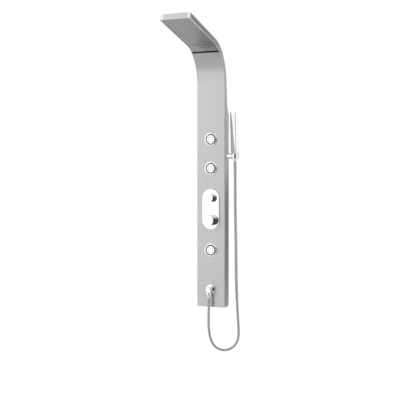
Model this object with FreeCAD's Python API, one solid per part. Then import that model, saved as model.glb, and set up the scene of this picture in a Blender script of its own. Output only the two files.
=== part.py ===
import FreeCAD, Part
import math
import os

# Wall-hung shower panel column.  Millimetres, X to the right, Y towards the wall, Z up.
# The wall is the plane Y = 0 and the origin is the middle of the four wall screw holes.

V = FreeCAD.Vector
UP = V(0, 0, 1)
DOWN = V(0, 0, -1)
RIGHT = V(1, 0, 0)
LEFT = V(-1, 0, 0)
FORWARD = V(0, -1, 0)
TO_WALL = V(0, 1, 0)

# ---- driving dimensions -------------------------------------------------------------

# folded steel column and its forward-sweeping hood
PANEL_WIDTH = 150.0
BODY_DEPTH = 62.0
PANEL_BOTTOM = -530.0
ARCH_START = 605.0
ARCH_RADIUS = 175.0
ARCH_TURN = math.radians(80.5)
HOOD_LENGTH = 345.0
HOOD_DEPTH = 25.0
NECK_DEPTH = 34.0
NECK_HEIGHT = 525.0
SCOOP_RADIUS = 109.0
SHEET = 1.5
FOLD_RADIUS = 2.5
FLANGE_WIDTH = 10.0
COVER_SHEET = 1.0
COVER_SCREW_RADIUS = 1.45
COVER_SCREW_HEAD = 3.2
COVER_SCREW_TURNS = (12, 46)
COVER_SCREW_STEPS = (20, 170, 320)

# rain head in the underside of the hood
HEAD_RIM = 6.0
HEAD_REAR = math.radians(56.0)
PLATE_REAR = math.radians(57.4)
CHAMBER_REAR = math.radians(60.0)
PLATE_SHEET = 1.5
MAT_THICKNESS = 1.2
CHAMBER_DEPTH = 11.0
CHAMBER_WALL = 1.2
CHAMBER_HALF_WIDTH = 62.0
CHAMBER_TIP_IN = 14.0
CHAMBER_NUT_X = 67.0
CHAMBER_NUT_STEPS = (20, 105, 190, 275, 330)
NIPPLE_LENGTH = 14.0
NIPPLE_DEPTH = 12.0
NIPPLE_BORE = 2.6
NOZZLE_PITCH = 15.2
NOZZLE_ROW_STEP = 19.0
NOZZLE_COLUMNS = 9
NOZZLE_ROWS = 21
NOZZLE_TIP_IN = 20.0
NOZZLE_ROOT = 2.3
NOZZLE_TIP = 1.3
NOZZLE_REACH = 4.0

# body jets: a ball in a seat ring, held between a front bezel and a rear housing
JET_HEIGHTS = {"upper": 325.0, "middle": 178.0, "lower": -239.0}
BEZEL_RADIUS = 34.5
BEZEL_PROUD = 4.0
APERTURE_RADIUS = 27.0
SLEEVE_BORE = 29.6
SLEEVE_RADIUS = 31.2
BALL_RADIUS = 26.0
BALL_NECK = 24.5
BALL_TO_FRONT = 13.0
SEAT_RUNNING_GAP = 0.35
SEAT_WALL = 1.9
SEAT_FRONT = 3.0
SEAT_BACK = 8.0
BALL_MOUTH = 18.0
JET_FACE_WALL = 3.0
JET_TIPS = 8
JET_TIP_RINGS = (10.0, 16.0)
JET_NUT_RADIUS = 38.0
JET_NUT_HEIGHT = 6.0
JET_HOUSING_RADIUS = 33.6
JET_HOUSING_DEPTH = 27.0
JET_SPIGOT_END = 45.0

# mixer and diverter
MIXER_HEIGHT = -87.0
DIVERTER_HEIGHT = 27.0
CONTROL_PLATE_WIDTH = 92.0
CONTROL_PLATE_FRONT = 5.0
MIXER_NECK_RADIUS = 20.5
MIXER_BORE_RADIUS = 17.5
MIXER_STEM_RADIUS = 5.0
MIXER_KNOB_RADIUS = 29.0
MIXER_KNOB_REACH = 48.0
DIVERTER_NECK_RADIUS = 15.0
DIVERTER_BORE_RADIUS = 12.0
DIVERTER_STEM_RADIUS = 4.0
DIVERTER_KNOB_RADIUS = 23.0
DIVERTER_KNOB_REACH = 38.0
KNOB_GAP = 1.2
KNOB_WALL = 3.2
COLLAR_WIDTH = 4.0
VALVE_WALL = 3.5
GRUB_RADIUS = 2.0
PIPE_DEPTH = 30.0
PIPE_RADIUS = 5.5
PIPE_BORE = 3.4
PIPE_SIDE = 58.0
HEAD_PIPE_SIDE = 50.0
INLET_SIDE = 40.0
INLET_ARM_RADIUS = 12.0
INLET_ARM_DROP = 22.0
INLET_THREAD_RADIUS = 10.4
INLET_THREAD_LENGTH = 15.0

# hand shower outlet, hose and holder
OUTLET_HEIGHT = -438.0
OUTLET_REACH = 44.0
OUTLET_BARREL_RADIUS = 13.5
OUTLET_THREAD_RADIUS = 10.4
OUTLET_BORE = 6.5
OUTLET_FLANGE_RADIUS = 25.0
HOSE_OUT = 30.0
HOSE_RADIUS = 7.0
HOSE_SLEEVE_RADIUS = 7.6
HOSE_SLEEVE_END = 42.0
HOLDER_HEIGHT = 240.0
HOLDER_AXIS_X = 118.0
HOLDER_ARM_RADIUS = 14.0
HOLDER_BOLT_RADIUS = 4.0
SOCKET_RADIUS = 18.5
SOCKET_HALF = 14.0
HANDSET_LEAN = 4.5
HANDSET_SWING = -29.0
HANDSET_WIDTH = 40.0
HANDSET_THICKNESS = 22.0
HANDSET_LENGTH = 205.0
HANDSET_FOOT = 15.0
HANDSET_EDGE_RADIUS = 5.0
SPRAY_FACE_WIDTH = 34.0
SPRAY_FACE_LENGTH = 79.0
SPRAY_FACE_TOP_IN = 8.0
SPRAY_FACE_DEPTH = 2.5
SPRAY_ROWS = 8
SPRAY_COLUMNS = 3
SPRAY_ROW_STEP = 9.2
SPRAY_COLUMN_STEP = 9.0

# wall fixing
SCREW_SPACING_X = 80.0
SCREW_SPACING_Z = 760.0
SCREW_HOLE_RADIUS = 3.5
BRACKET_SHEET = 2.0
BRACKET_HALF_WIDTH = 55.0
HANGER_HALF_WIDTH = 50.0
HOOK_GAP = 0.4

FRONT = -BODY_DEPTH
HALF_WIDTH = PANEL_WIDTH / 2
INNER_HALF = HALF_WIDTH - SHEET
ARCH_CENTRE_Y = FRONT - ARCH_RADIUS
PIPE_Y = -PIPE_DEPTH
HOSE_Y = FRONT - HOSE_OUT
HOLDER_CENTRE = V(HOLDER_AXIS_X, -BODY_DEPTH / 2, HOLDER_HEIGHT)
HOLE_PLAY = 0.3
TIP_WAY = (-math.sin(ARCH_TURN), math.cos(ARCH_TURN))

# Free hose from the outlet to the hand shower: its corner points, in order.
HOSE_ROUTE = [
    (0, -92, -480),
    (0, -92, -530),
    (-2, -93, -585),
    (-1, -92, -645),
    (11, -86, -706),
    (40, -72, -741),
    (79, -52, -750),
    (115, -33, -732),
    (135, -22, -694),
    (136, -21, -640),
    (131, -24, -565),
    (127, -26, -470),
    (124, -28, -340),
    (123, -28, -190),
    (120, -29, -40),
    (119, -29, 80),
    (118, -25.3, 168.2),
    (118, -28.9, 213.0),
]


# ---- ways of making --------------------------------------------------------------------

def outline(start, *steps):
    """Closed face in the XZ plane: each step is a point, or a pair of points for an arc."""
    edges = []
    first = V(start[0], 0, start[1])
    here = first
    for step in steps:
        if isinstance(step[0], tuple):
            middle = V(step[0][0], 0, step[0][1])
            end = V(step[1][0], 0, step[1][1])
            edges.append(Part.Arc(here, middle, end).toShape())
        else:
            end = V(step[0], 0, step[1])
            edges.append(Part.makeLine(here, end))
        here = end
    if here.distanceToPoint(first) > 1e-6:
        edges.append(Part.makeLine(here, first))
    return Part.Face(Part.Wire(edges))


def set_on(shape, centre, axis):
    """Stand a shape made about Z at a point, with its Z along the given way."""
    shape.Placement = FreeCAD.Placement(centre, FreeCAD.Rotation(UP, axis))
    return shape


def turned(centre, axis, start, *steps):
    """Lathe-turned piece from an outline of (radius, distance along the axis)."""
    return set_on(outline(start, *steps).revolve(V(0, 0, 0), UP, 360), centre, axis)


def rod(centre, axis, radius, start, end):
    return Part.makeCylinder(radius, end - start, centre + axis * start, axis)


def ring(centre, axis, inner, outer, start, end):
    return rod(centre, axis, outer, start, end).cut(rod(centre, axis, inner, start - 1, end + 1))


def prism(centre, axis, radius, start, end, sides=6):
    """Regular prism about an axis, its radius measured to the corners."""
    corners = []
    for i in range(sides + 1):
        angle = 2 * math.pi * i / sides
        corners.append(V(radius * math.cos(angle), radius * math.sin(angle), start))
    face = Part.Face(Part.makePolygon(corners))
    return set_on(face.extrude(V(0, 0, end - start)), centre, axis)


def spike(centre, axis, root, tip, start, end, sides=6):
    """Six-sided tapering nozzle tip about an axis."""
    rings = []
    for radius, height in ((root, start), (tip, end)):
        corners = []
        for i in range(sides + 1):
            angle = 2 * math.pi * i / sides
            corners.append(V(radius * math.cos(angle), radius * math.sin(angle), height))
        rings.append(Part.makePolygon(corners))
    return set_on(Part.makeLoft(rings, True, True), centre, axis)


def hex_nut(centre, axis, across_flats, bore, start, end):
    corner_radius = across_flats / math.sqrt(3)
    return prism(centre, axis, corner_radius, start, end).cut(rod(centre, axis, bore, start - 1, end + 1))


def block(low, high):
    return Part.makeBox(high[0] - low[0], high[1] - low[1], high[2] - low[2], V(*low))


def rounded_block(low, high, radius, way):
    """Box whose edges along one way ("X", "Y" or "Z") are rounded."""
    box = block(low, high)
    axis = {"X": RIGHT, "Y": TO_WALL, "Z": UP}[way]
    edges = [e for e in box.Edges if abs(e.tangentAt(e.FirstParameter).dot(axis)) > 0.99]
    return box.makeFillet(radius, edges)


def stadium(width, length, centre, start, end):
    """Upright plate with half-round ends, from one distance in front of the panel to another."""
    radius = width / 2
    reach = length / 2 - radius
    face = outline(
        (-radius, -reach),
        ((0, -reach - radius), (radius, -reach)),
        (radius, reach),
        ((0, reach + radius), (-radius, reach)),
    )
    face.translate(V(centre.x, FRONT - start, centre.z))
    return face.extrude(V(0, start - end, 0))


def easy_bends(points):
    """Bend radii of a free hose: each arc is as large as its two runs allow."""
    radii = []
    for before, corner, after in zip(points, points[1:], points[2:]):
        run_in = corner - before
        run_out = after - corner
        half_turn = run_in.getAngle(run_out) / 2
        radii.append(0.45 * min(run_in.Length, run_out.Length) / math.tan(half_turn))
    return radii


def pipe(points, section_radius, bend_radii):
    """Round pipe along straight runs joined by tangent arcs."""
    edges = []
    here = points[0]
    for before, corner, after, bend in zip(points, points[1:], points[2:], bend_radii):
        way_in = (corner - before).normalize()
        way_out = (after - corner).normalize()
        half_turn = way_in.getAngle(way_out) / 2
        setback = bend * math.tan(half_turn)
        inward = (way_out - way_in).normalize()
        arc_start = corner - way_in * setback
        arc_middle = corner + inward * (bend / math.cos(half_turn) - bend)
        arc_end = corner + way_out * setback
        if here.distanceToPoint(arc_start) > 0.01:
            edges.append(Part.makeLine(here, arc_start))
        edges.append(Part.Arc(arc_start, arc_middle, arc_end).toShape())
        here = arc_end
    edges.append(Part.makeLine(here, points[-1]))
    spine = Part.Wire(edges)
    section = Part.Wire(Part.makeCircle(section_radius, points[0], points[1] - points[0]))
    sweep = Part.BRepOffsetAPI.MakePipeShell(spine)
    sweep.add(section)
    sweep.build()
    sweep.makeSolid()
    body = sweep.shape()
    ideal = math.pi * section_radius ** 2 * spine.Length
    print("pipe length %.1f, volume over section times length %.4f" % (spine.Length, body.Volume / ideal))
    return body


def save(name, shape):
    if not shape.isValid() or not shape.Solids:
        print("NOT VALID", name)
    shape.exportStep("parts/" + name + ".step")


def save_group(name, pieces):
    save(name, Part.makeCompound(pieces))


# ---- outline of the column seen from the side -------------------------------------------

def on_arch(offset, angle):
    """Point in the side view, a distance inside the front skin, round the arch."""
    radius = ARCH_RADIUS + offset
    return V(0, ARCH_CENTRE_Y + radius * math.cos(angle), ARCH_START + radius * math.sin(angle))


def on_hood(offset, along):
    """Point in the side view, a distance inside the front skin, along the straight hood."""
    foot = on_arch(offset, ARCH_TURN)
    return V(0, foot.y + TIP_WAY[0] * along, foot.z + TIP_WAY[1] * along)


def side_slab(half_width, front_in, back_in, lip_in, bottom_in):
    """The column's side view as a slab, drawn in from the front, back, lip and bottom faces."""
    depth = HOOD_DEPTH - back_in
    scoop_y = FRONT + NECK_DEPTH + SCOOP_RADIUS
    scoop_radius = SCOOP_RADIUS + back_in
    scoop_end = math.acos((scoop_y + back_in) / scoop_radius)

    def scoop(angle):
        return V(0, scoop_y - scoop_radius * math.cos(angle), NECK_HEIGHT - scoop_radius * math.sin(angle))

    corners = {
        "front_foot": V(0, FRONT + front_in, PANEL_BOTTOM + bottom_in),
        "front_arch": on_arch(front_in, 0),
        "front_hood": on_arch(front_in, ARCH_TURN),
        "front_lip": on_hood(front_in, HOOD_LENGTH - lip_in),
        "back_lip": on_hood(depth, HOOD_LENGTH - lip_in),
        "back_hood": on_arch(depth, ARCH_TURN),
        "back_arch": on_arch(depth, 0),
        "neck": scoop(0),
        "shoulder": scoop(scoop_end),
        "back_foot": V(0, -back_in, PANEL_BOTTOM + bottom_in),
    }
    edges = [
        Part.makeLine(corners["front_foot"], corners["front_arch"]),
        Part.Arc(corners["front_arch"], on_arch(front_in, ARCH_TURN / 2), corners["front_hood"]).toShape(),
        Part.makeLine(corners["front_hood"], corners["front_lip"]),
        Part.makeLine(corners["front_lip"], corners["back_lip"]),
        Part.makeLine(corners["back_lip"], corners["back_hood"]),
        Part.Arc(corners["back_hood"], on_arch(depth, ARCH_TURN / 2), corners["back_arch"]).toShape(),
        Part.makeLine(corners["back_arch"], corners["neck"]),
        Part.Arc(corners["neck"], scoop(scoop_end / 2), corners["shoulder"]).toShape(),
        Part.makeLine(corners["shoulder"], corners["back_foot"]),
        Part.makeLine(corners["back_foot"], corners["front_foot"]),
    ]
    face = Part.Face(Part.Wire(edges))
    face.translate(V(-half_width, 0, 0))
    return face.extrude(V(2 * half_width, 0, 0))


def hood_strip(half_width, near, far, rear_angle, tip_in):
    """Curved slab under or in the hood, between two distances inside the front skin."""
    edges = [
        Part.Arc(on_arch(near, rear_angle), on_arch(near, (rear_angle + ARCH_TURN) / 2),
                 on_arch(near, ARCH_TURN)).toShape(),
        Part.makeLine(on_arch(near, ARCH_TURN), on_hood(near, HOOD_LENGTH - tip_in)),
        Part.makeLine(on_hood(near, HOOD_LENGTH - tip_in), on_hood(far, HOOD_LENGTH - tip_in)),
        Part.makeLine(on_hood(far, HOOD_LENGTH - tip_in), on_arch(far, ARCH_TURN)),
        Part.Arc(on_arch(far, ARCH_TURN), on_arch(far, (rear_angle + ARCH_TURN) / 2),
                 on_arch(far, rear_angle)).toShape(),
        Part.makeLine(on_arch(far, rear_angle), on_arch(near, rear_angle)),
    ]
    face = Part.Face(Part.Wire(edges))
    face.translate(V(-half_width, 0, 0))
    return face.extrude(V(2 * half_width, 0, 0))


def fold_edges(slab, offset):
    """The two long edges where the front skin folds into the sides."""
    found = []
    for edge in slab.Edges:
        middle = edge.valueAt((edge.FirstParameter + edge.LastParameter) / 2)
        if abs(edge.tangentAt(edge.FirstParameter).x) > 0.5:
            continue
        from_centre = math.hypot(middle.y - ARCH_CENTRE_Y, middle.z - ARCH_START)
        on_body = middle.z < ARCH_START and abs(middle.y - FRONT - offset) < 0.01
        on_bend = middle.z > ARCH_START and abs(from_centre - ARCH_RADIUS - offset) < 0.01
        half_hood = on_hood(offset, (HOOD_LENGTH - offset) / 2)
        on_straight = V(0, middle.y, middle.z).distanceToPoint(half_hood) < 1.0
        if on_body or on_bend or on_straight:
            found.append(edge)
    return found


def cover_screw_places():
    """Foot of each back cover screw, with the way that its head points."""
    places = []
    for angle in [math.radians(turn) for turn in COVER_SCREW_TURNS]:
        places.append((on_arch(HOOD_DEPTH, angle), V(0, math.cos(angle), math.sin(angle))))
    for along in COVER_SCREW_STEPS:
        places.append((on_hood(HOOD_DEPTH, along), V(0, TIP_WAY[1], -TIP_WAY[0])))
    both_sides = []
    for foot, way in places:
        for side in (-1, 1):
            both_sides.append((foot + V(side * (INNER_HALF - FLANGE_WIDTH / 2), 0, 0), way))
    return both_sides


# ---- column ------------------------------------------------------------------------------

def make_panel_shell():
    outside = side_slab(HALF_WIDTH, 0, 0, 0, 0)
    outside = outside.makeFillet(FOLD_RADIUS, fold_edges(outside, 0))
    inside = side_slab(INNER_HALF, SHEET, SHEET, SHEET, SHEET)
    inside = inside.makeFillet(FOLD_RADIUS - SHEET, fold_edges(inside, SHEET))
    lip = SHEET + FLANGE_WIDTH
    back_opening = side_slab(INNER_HALF - FLANGE_WIDTH, 2 * SHEET, -FLANGE_WIDTH, lip, lip)
    shell = outside.cut(inside).cut(back_opening)

    cutter = 2 * SHEET
    holes = [hood_strip(HALF_WIDTH - HEAD_RIM, -cutter, cutter, HEAD_REAR, HEAD_RIM)]
    front_holes = [(height, SLEEVE_RADIUS) for height in JET_HEIGHTS.values()]
    front_holes += [
        (MIXER_HEIGHT, MIXER_NECK_RADIUS),
        (DIVERTER_HEIGHT, DIVERTER_NECK_RADIUS),
        (OUTLET_HEIGHT, OUTLET_THREAD_RADIUS),
    ]
    for height, radius in front_holes:
        holes.append(rod(V(0, FRONT, height), TO_WALL, radius + HOLE_PLAY, -cutter, cutter))
    side = V(HALF_WIDTH, HOLDER_CENTRE.y, HOLDER_HEIGHT)
    holes.append(rod(side, LEFT, HOLDER_BOLT_RADIUS + HOLE_PLAY, -cutter, cutter))
    for foot, way in cover_screw_places():
        holes.append(rod(foot, way, COVER_SCREW_RADIUS + HOLE_PLAY / 2, -cutter, cutter))
    save("panel_shell", shell.cut(Part.makeCompound(holes)))


def make_back_cover():
    half = HALF_WIDTH - SHEET
    tip = HOOD_LENGTH - COVER_SHEET
    back = HOOD_DEPTH + COVER_SHEET
    neck_y = FRONT + NECK_DEPTH
    neck_foot = V(0, neck_y, NECK_HEIGHT)
    edges = [
        Part.makeLine(on_hood(HOOD_DEPTH, tip), on_arch(HOOD_DEPTH, ARCH_TURN)),
        Part.Arc(on_arch(HOOD_DEPTH, ARCH_TURN), on_arch(HOOD_DEPTH, ARCH_TURN / 2),
                 on_arch(HOOD_DEPTH, 0)).toShape(),
        Part.makeLine(on_arch(HOOD_DEPTH, 0), neck_foot),
        Part.makeLine(neck_foot, neck_foot + V(0, COVER_SHEET, 0)),
        Part.makeLine(neck_foot + V(0, COVER_SHEET, 0), on_arch(back, 0)),
        Part.Arc(on_arch(back, 0), on_arch(back, ARCH_TURN / 2), on_arch(back, ARCH_TURN)).toShape(),
        Part.makeLine(on_arch(back, ARCH_TURN), on_hood(back, tip)),
        Part.makeLine(on_hood(back, tip), on_hood(HOOD_DEPTH, tip)),
    ]
    face = Part.Face(Part.Wire(edges))
    face.translate(V(-half, 0, 0))
    cover = face.extrude(V(2 * half, 0, 0))
    holes = []
    screws = []
    head_top = COVER_SHEET + COVER_SCREW_HEAD / 2
    for foot, way in cover_screw_places():
        holes.append(rod(foot, way, COVER_SCREW_RADIUS + HOLE_PLAY / 2, -back, back))
        screws.append(turned(
            foot, way,
            (0, -5), (COVER_SCREW_RADIUS, -5), (COVER_SCREW_RADIUS, COVER_SHEET),
            (COVER_SCREW_HEAD, COVER_SHEET), (COVER_SCREW_HEAD - 1, head_top), (0, head_top),
        ))
    save("arch_back_cover", cover.cut(Part.makeCompound(holes)))
    save_group("cover_screws", screws)


# ---- rain head -----------------------------------------------------------------------------

def nozzle_places(offset):
    """Square rows of nozzles over the plate: the foot of each, and the way that it points."""
    places = []
    arc_length = ARCH_RADIUS * ARCH_TURN
    last_row = arc_length + HOOD_LENGTH - NOZZLE_TIP_IN
    for row in range(NOZZLE_ROWS):
        station = last_row - row * NOZZLE_ROW_STEP
        if station > arc_length:
            foot = on_hood(offset, station - arc_length)
            angle = ARCH_TURN
        else:
            angle = station / ARCH_RADIUS
            foot = on_arch(offset, angle)
        way = V(0, -math.cos(angle), -math.sin(angle))
        for column in range(NOZZLE_COLUMNS):
            x = (column - (NOZZLE_COLUMNS - 1) / 2) * NOZZLE_PITCH
            places.append((foot + V(x, 0, 0), way))
    return places


def make_rain_head():
    plate_face = SHEET
    mat_face = plate_face + PLATE_SHEET
    chamber_face = mat_face + MAT_THICKNESS
    chamber_top = chamber_face + CHAMBER_DEPTH
    rim_half = INNER_HALF - 2
    rim_rear = CHAMBER_REAR - 0.02
    rim_tip_in = 5.0

    plate = hood_strip(INNER_HALF - 1, plate_face, mat_face, PLATE_REAR, SHEET + 0.5)
    mat = hood_strip(rim_half, mat_face, chamber_face, rim_rear, rim_tip_in)
    holes = []
    tips = []
    for foot, way in nozzle_places(mat_face):
        holes.append(prism(foot, way, NOZZLE_ROOT + 0.2, -0.5, PLATE_SHEET + 1))
        tips.append(spike(foot, way, NOZZLE_ROOT, NOZZLE_TIP, -0.4, NOZZLE_REACH))
    save("nozzle_plate", plate.cut(Part.makeCompound(holes)))
    save("nozzle_mat", mat.fuse(tips).removeSplitter())
    print("rain nozzles", len(tips))

    flange_top = chamber_face + 1.5
    flange = hood_strip(rim_half, chamber_face, flange_top, rim_rear, rim_tip_in)
    tank = hood_strip(CHAMBER_HALF_WIDTH, chamber_face, chamber_top, CHAMBER_REAR, CHAMBER_TIP_IN)
    hollow = hood_strip(CHAMBER_HALF_WIDTH - CHAMBER_WALL, chamber_face - 1, chamber_top - CHAMBER_WALL,
                        CHAMBER_REAR + 0.008, CHAMBER_TIP_IN + CHAMBER_WALL)
    nipple_foot = on_arch(NIPPLE_DEPTH, CHAMBER_REAR) + V(-HEAD_PIPE_SIDE, 0, 0)
    along = V(0, math.sin(CHAMBER_REAR), -math.cos(CHAMBER_REAR))
    nipple = rod(nipple_foot, along, PIPE_RADIUS, -0.8, NIPPLE_LENGTH)
    nipple_bore = rod(nipple_foot, along, NIPPLE_BORE, -3, NIPPLE_LENGTH + 1)
    save("rain_chamber", flange.fuse([tank, nipple]).cut(hollow).cut(nipple_bore))

    nuts = []
    up_through = V(0, math.cos(ARCH_TURN), math.sin(ARCH_TURN))
    for foot_along in CHAMBER_NUT_STEPS:
        foot = on_hood(flange_top, foot_along)
        for side in (-1, 1):
            nuts.append(prism(foot + V(side * CHAMBER_NUT_X, 0, 0), up_through, 3.6, 0, 3.0))
    save_group("chamber_nuts", nuts)


# ---- body jets -----------------------------------------------------------------------------

def sphere_at(radius, height):
    return math.sqrt(radius ** 2 - height ** 2)


def make_jets():
    seat_inner = BALL_RADIUS + SEAT_RUNNING_GAP
    seat_outer = seat_inner + SEAT_WALL
    housing_seat = seat_outer + SEAT_RUNNING_GAP
    panel_level = BALL_TO_FRONT - BEZEL_PROUD
    gasket_level = panel_level + 0.8
    lip_level = BALL_TO_FRONT - 2.4
    housing_floor = -JET_HOUSING_DEPTH
    inner_floor = housing_floor + 3
    face_back = BALL_TO_FRONT - JET_FACE_WALL
    neck_level = sphere_at(BALL_RADIUS, BALL_NECK)
    spigot_ways = {"upper": (DOWN,), "middle": (UP, DOWN), "lower": (UP,)}
    gaskets = []
    lock_nuts = []
    for place, height in JET_HEIGHTS.items():
        # the ball's centre lies behind the bezel's front, on the jet's axis
        centre = V(0, FRONT + panel_level, height)

        save("jet_bezel_" + place, turned(
            centre, FORWARD,
            (APERTURE_RADIUS, lip_level), (APERTURE_RADIUS, BALL_TO_FRONT - 0.8),
            (APERTURE_RADIUS + 0.8, BALL_TO_FRONT),
            ((BEZEL_RADIUS - 2.6, BALL_TO_FRONT - 0.6), (BEZEL_RADIUS, panel_level + 1.6)),
            (BEZEL_RADIUS, gasket_level), (SLEEVE_RADIUS, gasket_level),
            (SLEEVE_RADIUS, -SEAT_FRONT), (SLEEVE_BORE, -SEAT_FRONT), (SLEEVE_BORE, lip_level),
        ))
        gasket_edge = BEZEL_RADIUS - 0.6
        gaskets.append(ring(centre, FORWARD, SLEEVE_RADIUS + 0.4, gasket_edge, panel_level, gasket_level))
        nut_front = panel_level - SHEET
        lock_nut = prism(centre, FORWARD, JET_NUT_RADIUS, nut_front - JET_NUT_HEIGHT, nut_front, 10)
        lock_nuts.append(lock_nut.cut(rod(centre, FORWARD, SLEEVE_RADIUS, -20, 20)))

        # rear housing: collar on the sleeve, spherical seat, water chamber and its spigots
        housing = turned(
            centre, FORWARD,
            (SLEEVE_RADIUS, 1.2), (JET_HOUSING_RADIUS, 1.2), (JET_HOUSING_RADIUS, -16),
            (24, housing_floor), (0, housing_floor), (0, inner_floor),
            (19, inner_floor), (19, inner_floor + 3), (sphere_at(housing_seat, 17), -17),
            ((sphere_at(housing_seat, 10), -10), (sphere_at(housing_seat, SEAT_FRONT), -SEAT_FRONT)),
            (SLEEVE_RADIUS, -SEAT_FRONT),
        )
        spigot_foot = V(0, PIPE_Y, height)
        ways = spigot_ways[place]
        spigots = [rod(spigot_foot, way, PIPE_RADIUS, 22, JET_SPIGOT_END) for way in ways]
        bores = [rod(spigot_foot, way, PIPE_BORE, 10, JET_SPIGOT_END + 1) for way in ways]
        save("jet_housing_" + place, housing.fuse(spigots).cut(Part.makeCompound(bores)))

        save("jet_seat_ring_" + place, turned(
            centre, FORWARD,
            (sphere_at(seat_inner, SEAT_BACK), -SEAT_BACK), (sphere_at(seat_outer, SEAT_BACK), -SEAT_BACK),
            ((seat_outer, 0), (sphere_at(seat_outer, SEAT_FRONT), SEAT_FRONT)),
            (sphere_at(seat_inner, SEAT_FRONT), SEAT_FRONT),
            ((seat_inner, 0), (sphere_at(seat_inner, SEAT_BACK), -SEAT_BACK)),
        ))

        # ball with a flat-necked spray face, hollow and open at the back
        ball = turned(
            centre, FORWARD,
            (BALL_MOUTH, -sphere_at(BALL_RADIUS, BALL_MOUTH)),
            ((BALL_RADIUS, 0), (BALL_NECK, neck_level)),
            (BALL_NECK, BALL_TO_FRONT - 1.8), (BALL_NECK - 1.5, BALL_TO_FRONT - 0.5),
            (BALL_NECK - 5.5, BALL_TO_FRONT), (0, BALL_TO_FRONT),
            (0, face_back), (BALL_MOUTH + 3, face_back), (BALL_MOUTH + 3, -8), (BALL_MOUTH, -12),
        )
        holes = []
        tips = [ring(centre, FORWARD, 4, 20.5, face_back - 1.5, face_back)]
        for i in range(JET_TIPS):
            angle = 2 * math.pi * i / JET_TIPS
            reach = JET_TIP_RINGS[i % 2]
            foot = centre + V(reach * math.cos(angle), 0, reach * math.sin(angle))
            holes.append(prism(foot, FORWARD, 1.9, face_back - 1, BALL_TO_FRONT + 1))
            tips.append(spike(foot, FORWARD, 1.8, 1.2, face_back - 0.5, BALL_TO_FRONT + 1.2))
        save("jet_ball_" + place, ball.cut(Part.makeCompound(holes)))
        save("jet_nozzles_" + place, tips[0].fuse(tips[1:]))
    save_group("jet_gaskets", gaskets)
    save_group("jet_lock_nuts", lock_nuts)


# ---- mixer and diverter ----------------------------------------------------------------------

def make_control_plate(mixer, diverter):
    middle = (mixer + diverter) * 0.5
    length = DIVERTER_HEIGHT - MIXER_HEIGHT + CONTROL_PLATE_WIDTH
    gasket_in = 4.0
    gasket_strip = 6.0
    plate = stadium(CONTROL_PLATE_WIDTH, length, middle, 1, CONTROL_PLATE_FRONT)
    face_y = FRONT - CONTROL_PLATE_FRONT
    front_edges = [e for e in plate.Edges
                   if abs(e.BoundBox.YMin - face_y) < 0.01 and e.BoundBox.YLength < 0.01]
    necks = [
        rod(mixer, FORWARD, MIXER_NECK_RADIUS + HOLE_PLAY, -5, 20),
        rod(diverter, FORWARD, DIVERTER_NECK_RADIUS + HOLE_PLAY, -5, 20),
    ]
    save("control_plate", plate.makeFillet(1.8, front_edges).cut(Part.makeCompound(necks)))
    gasket = stadium(CONTROL_PLATE_WIDTH - gasket_in, length - gasket_in, middle, 0, 1)
    inside = gasket_in + 2 * gasket_strip
    save("plate_gasket", gasket.cut(stadium(CONTROL_PLATE_WIDTH - inside, length - inside, middle, -1, 2)))


def make_valve_body(mixer, diverter):
    """One-piece brass body: two cups on an upright bar, an inlet bar and the outlet arms."""
    mixer_axis = V(0, PIPE_Y, MIXER_HEIGHT)
    diverter_axis = V(0, PIPE_Y, DIVERTER_HEIGHT)
    behind_panel = -SHEET - 1
    mixer_floor = -51.0
    diverter_floor = -47.0
    neck_front = CONTROL_PLATE_FRONT + COLLAR_WIDTH
    hub = 13.0
    pieces = [
        rod(mixer, FORWARD, MIXER_NECK_RADIUS + VALVE_WALL, mixer_floor, behind_panel),
        rod(mixer, FORWARD, MIXER_NECK_RADIUS, behind_panel - 1, neck_front),
        rod(diverter, FORWARD, DIVERTER_NECK_RADIUS + VALVE_WALL, diverter_floor, behind_panel),
        rod(diverter, FORWARD, DIVERTER_NECK_RADIUS, behind_panel - 1, neck_front),
        rod(mixer_axis, UP, hub, -53, DIVERTER_HEIGHT - MIXER_HEIGHT),
        rod(mixer_axis, DOWN, PIPE_RADIUS, 50, 63),
        rod(mixer_axis, RIGHT, INLET_ARM_RADIUS, -INLET_SIDE - 9, INLET_SIDE + 9),
        rod(diverter_axis, RIGHT, 8.0, -HEAD_PIPE_SIDE, PIPE_SIDE),
        rod(diverter_axis, UP, PIPE_RADIUS, 0, 34),
        rod(diverter_axis + V(-HEAD_PIPE_SIDE, 0, 0), UP, PIPE_RADIUS, -6, 24),
        rod(diverter_axis + V(PIPE_SIDE, 0, 0), DOWN, PIPE_RADIUS, -6, 24),
    ]
    hollows = [
        rod(mixer, FORWARD, MIXER_BORE_RADIUS, -38, neck_front + 1),
        rod(diverter, FORWARD, DIVERTER_BORE_RADIUS, -36, neck_front + 1),
    ]
    thread_end = INLET_ARM_DROP + INLET_THREAD_LENGTH
    for side in (-1, 1):
        inlet = mixer_axis + V(side * INLET_SIDE, 0, 0)
        pieces.append(rod(inlet, DOWN, INLET_ARM_RADIUS, 0, INLET_ARM_DROP))
        pieces.append(rod(inlet, DOWN, INLET_THREAD_RADIUS, INLET_ARM_DROP - 2, thread_end))
        hollows.append(rod(inlet, DOWN, 7.0, 0, thread_end + 1))
    save("valve_body", pieces[0].fuse(pieces[1:]).cut(Part.makeCompound(hollows)).removeSplitter())


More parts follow.
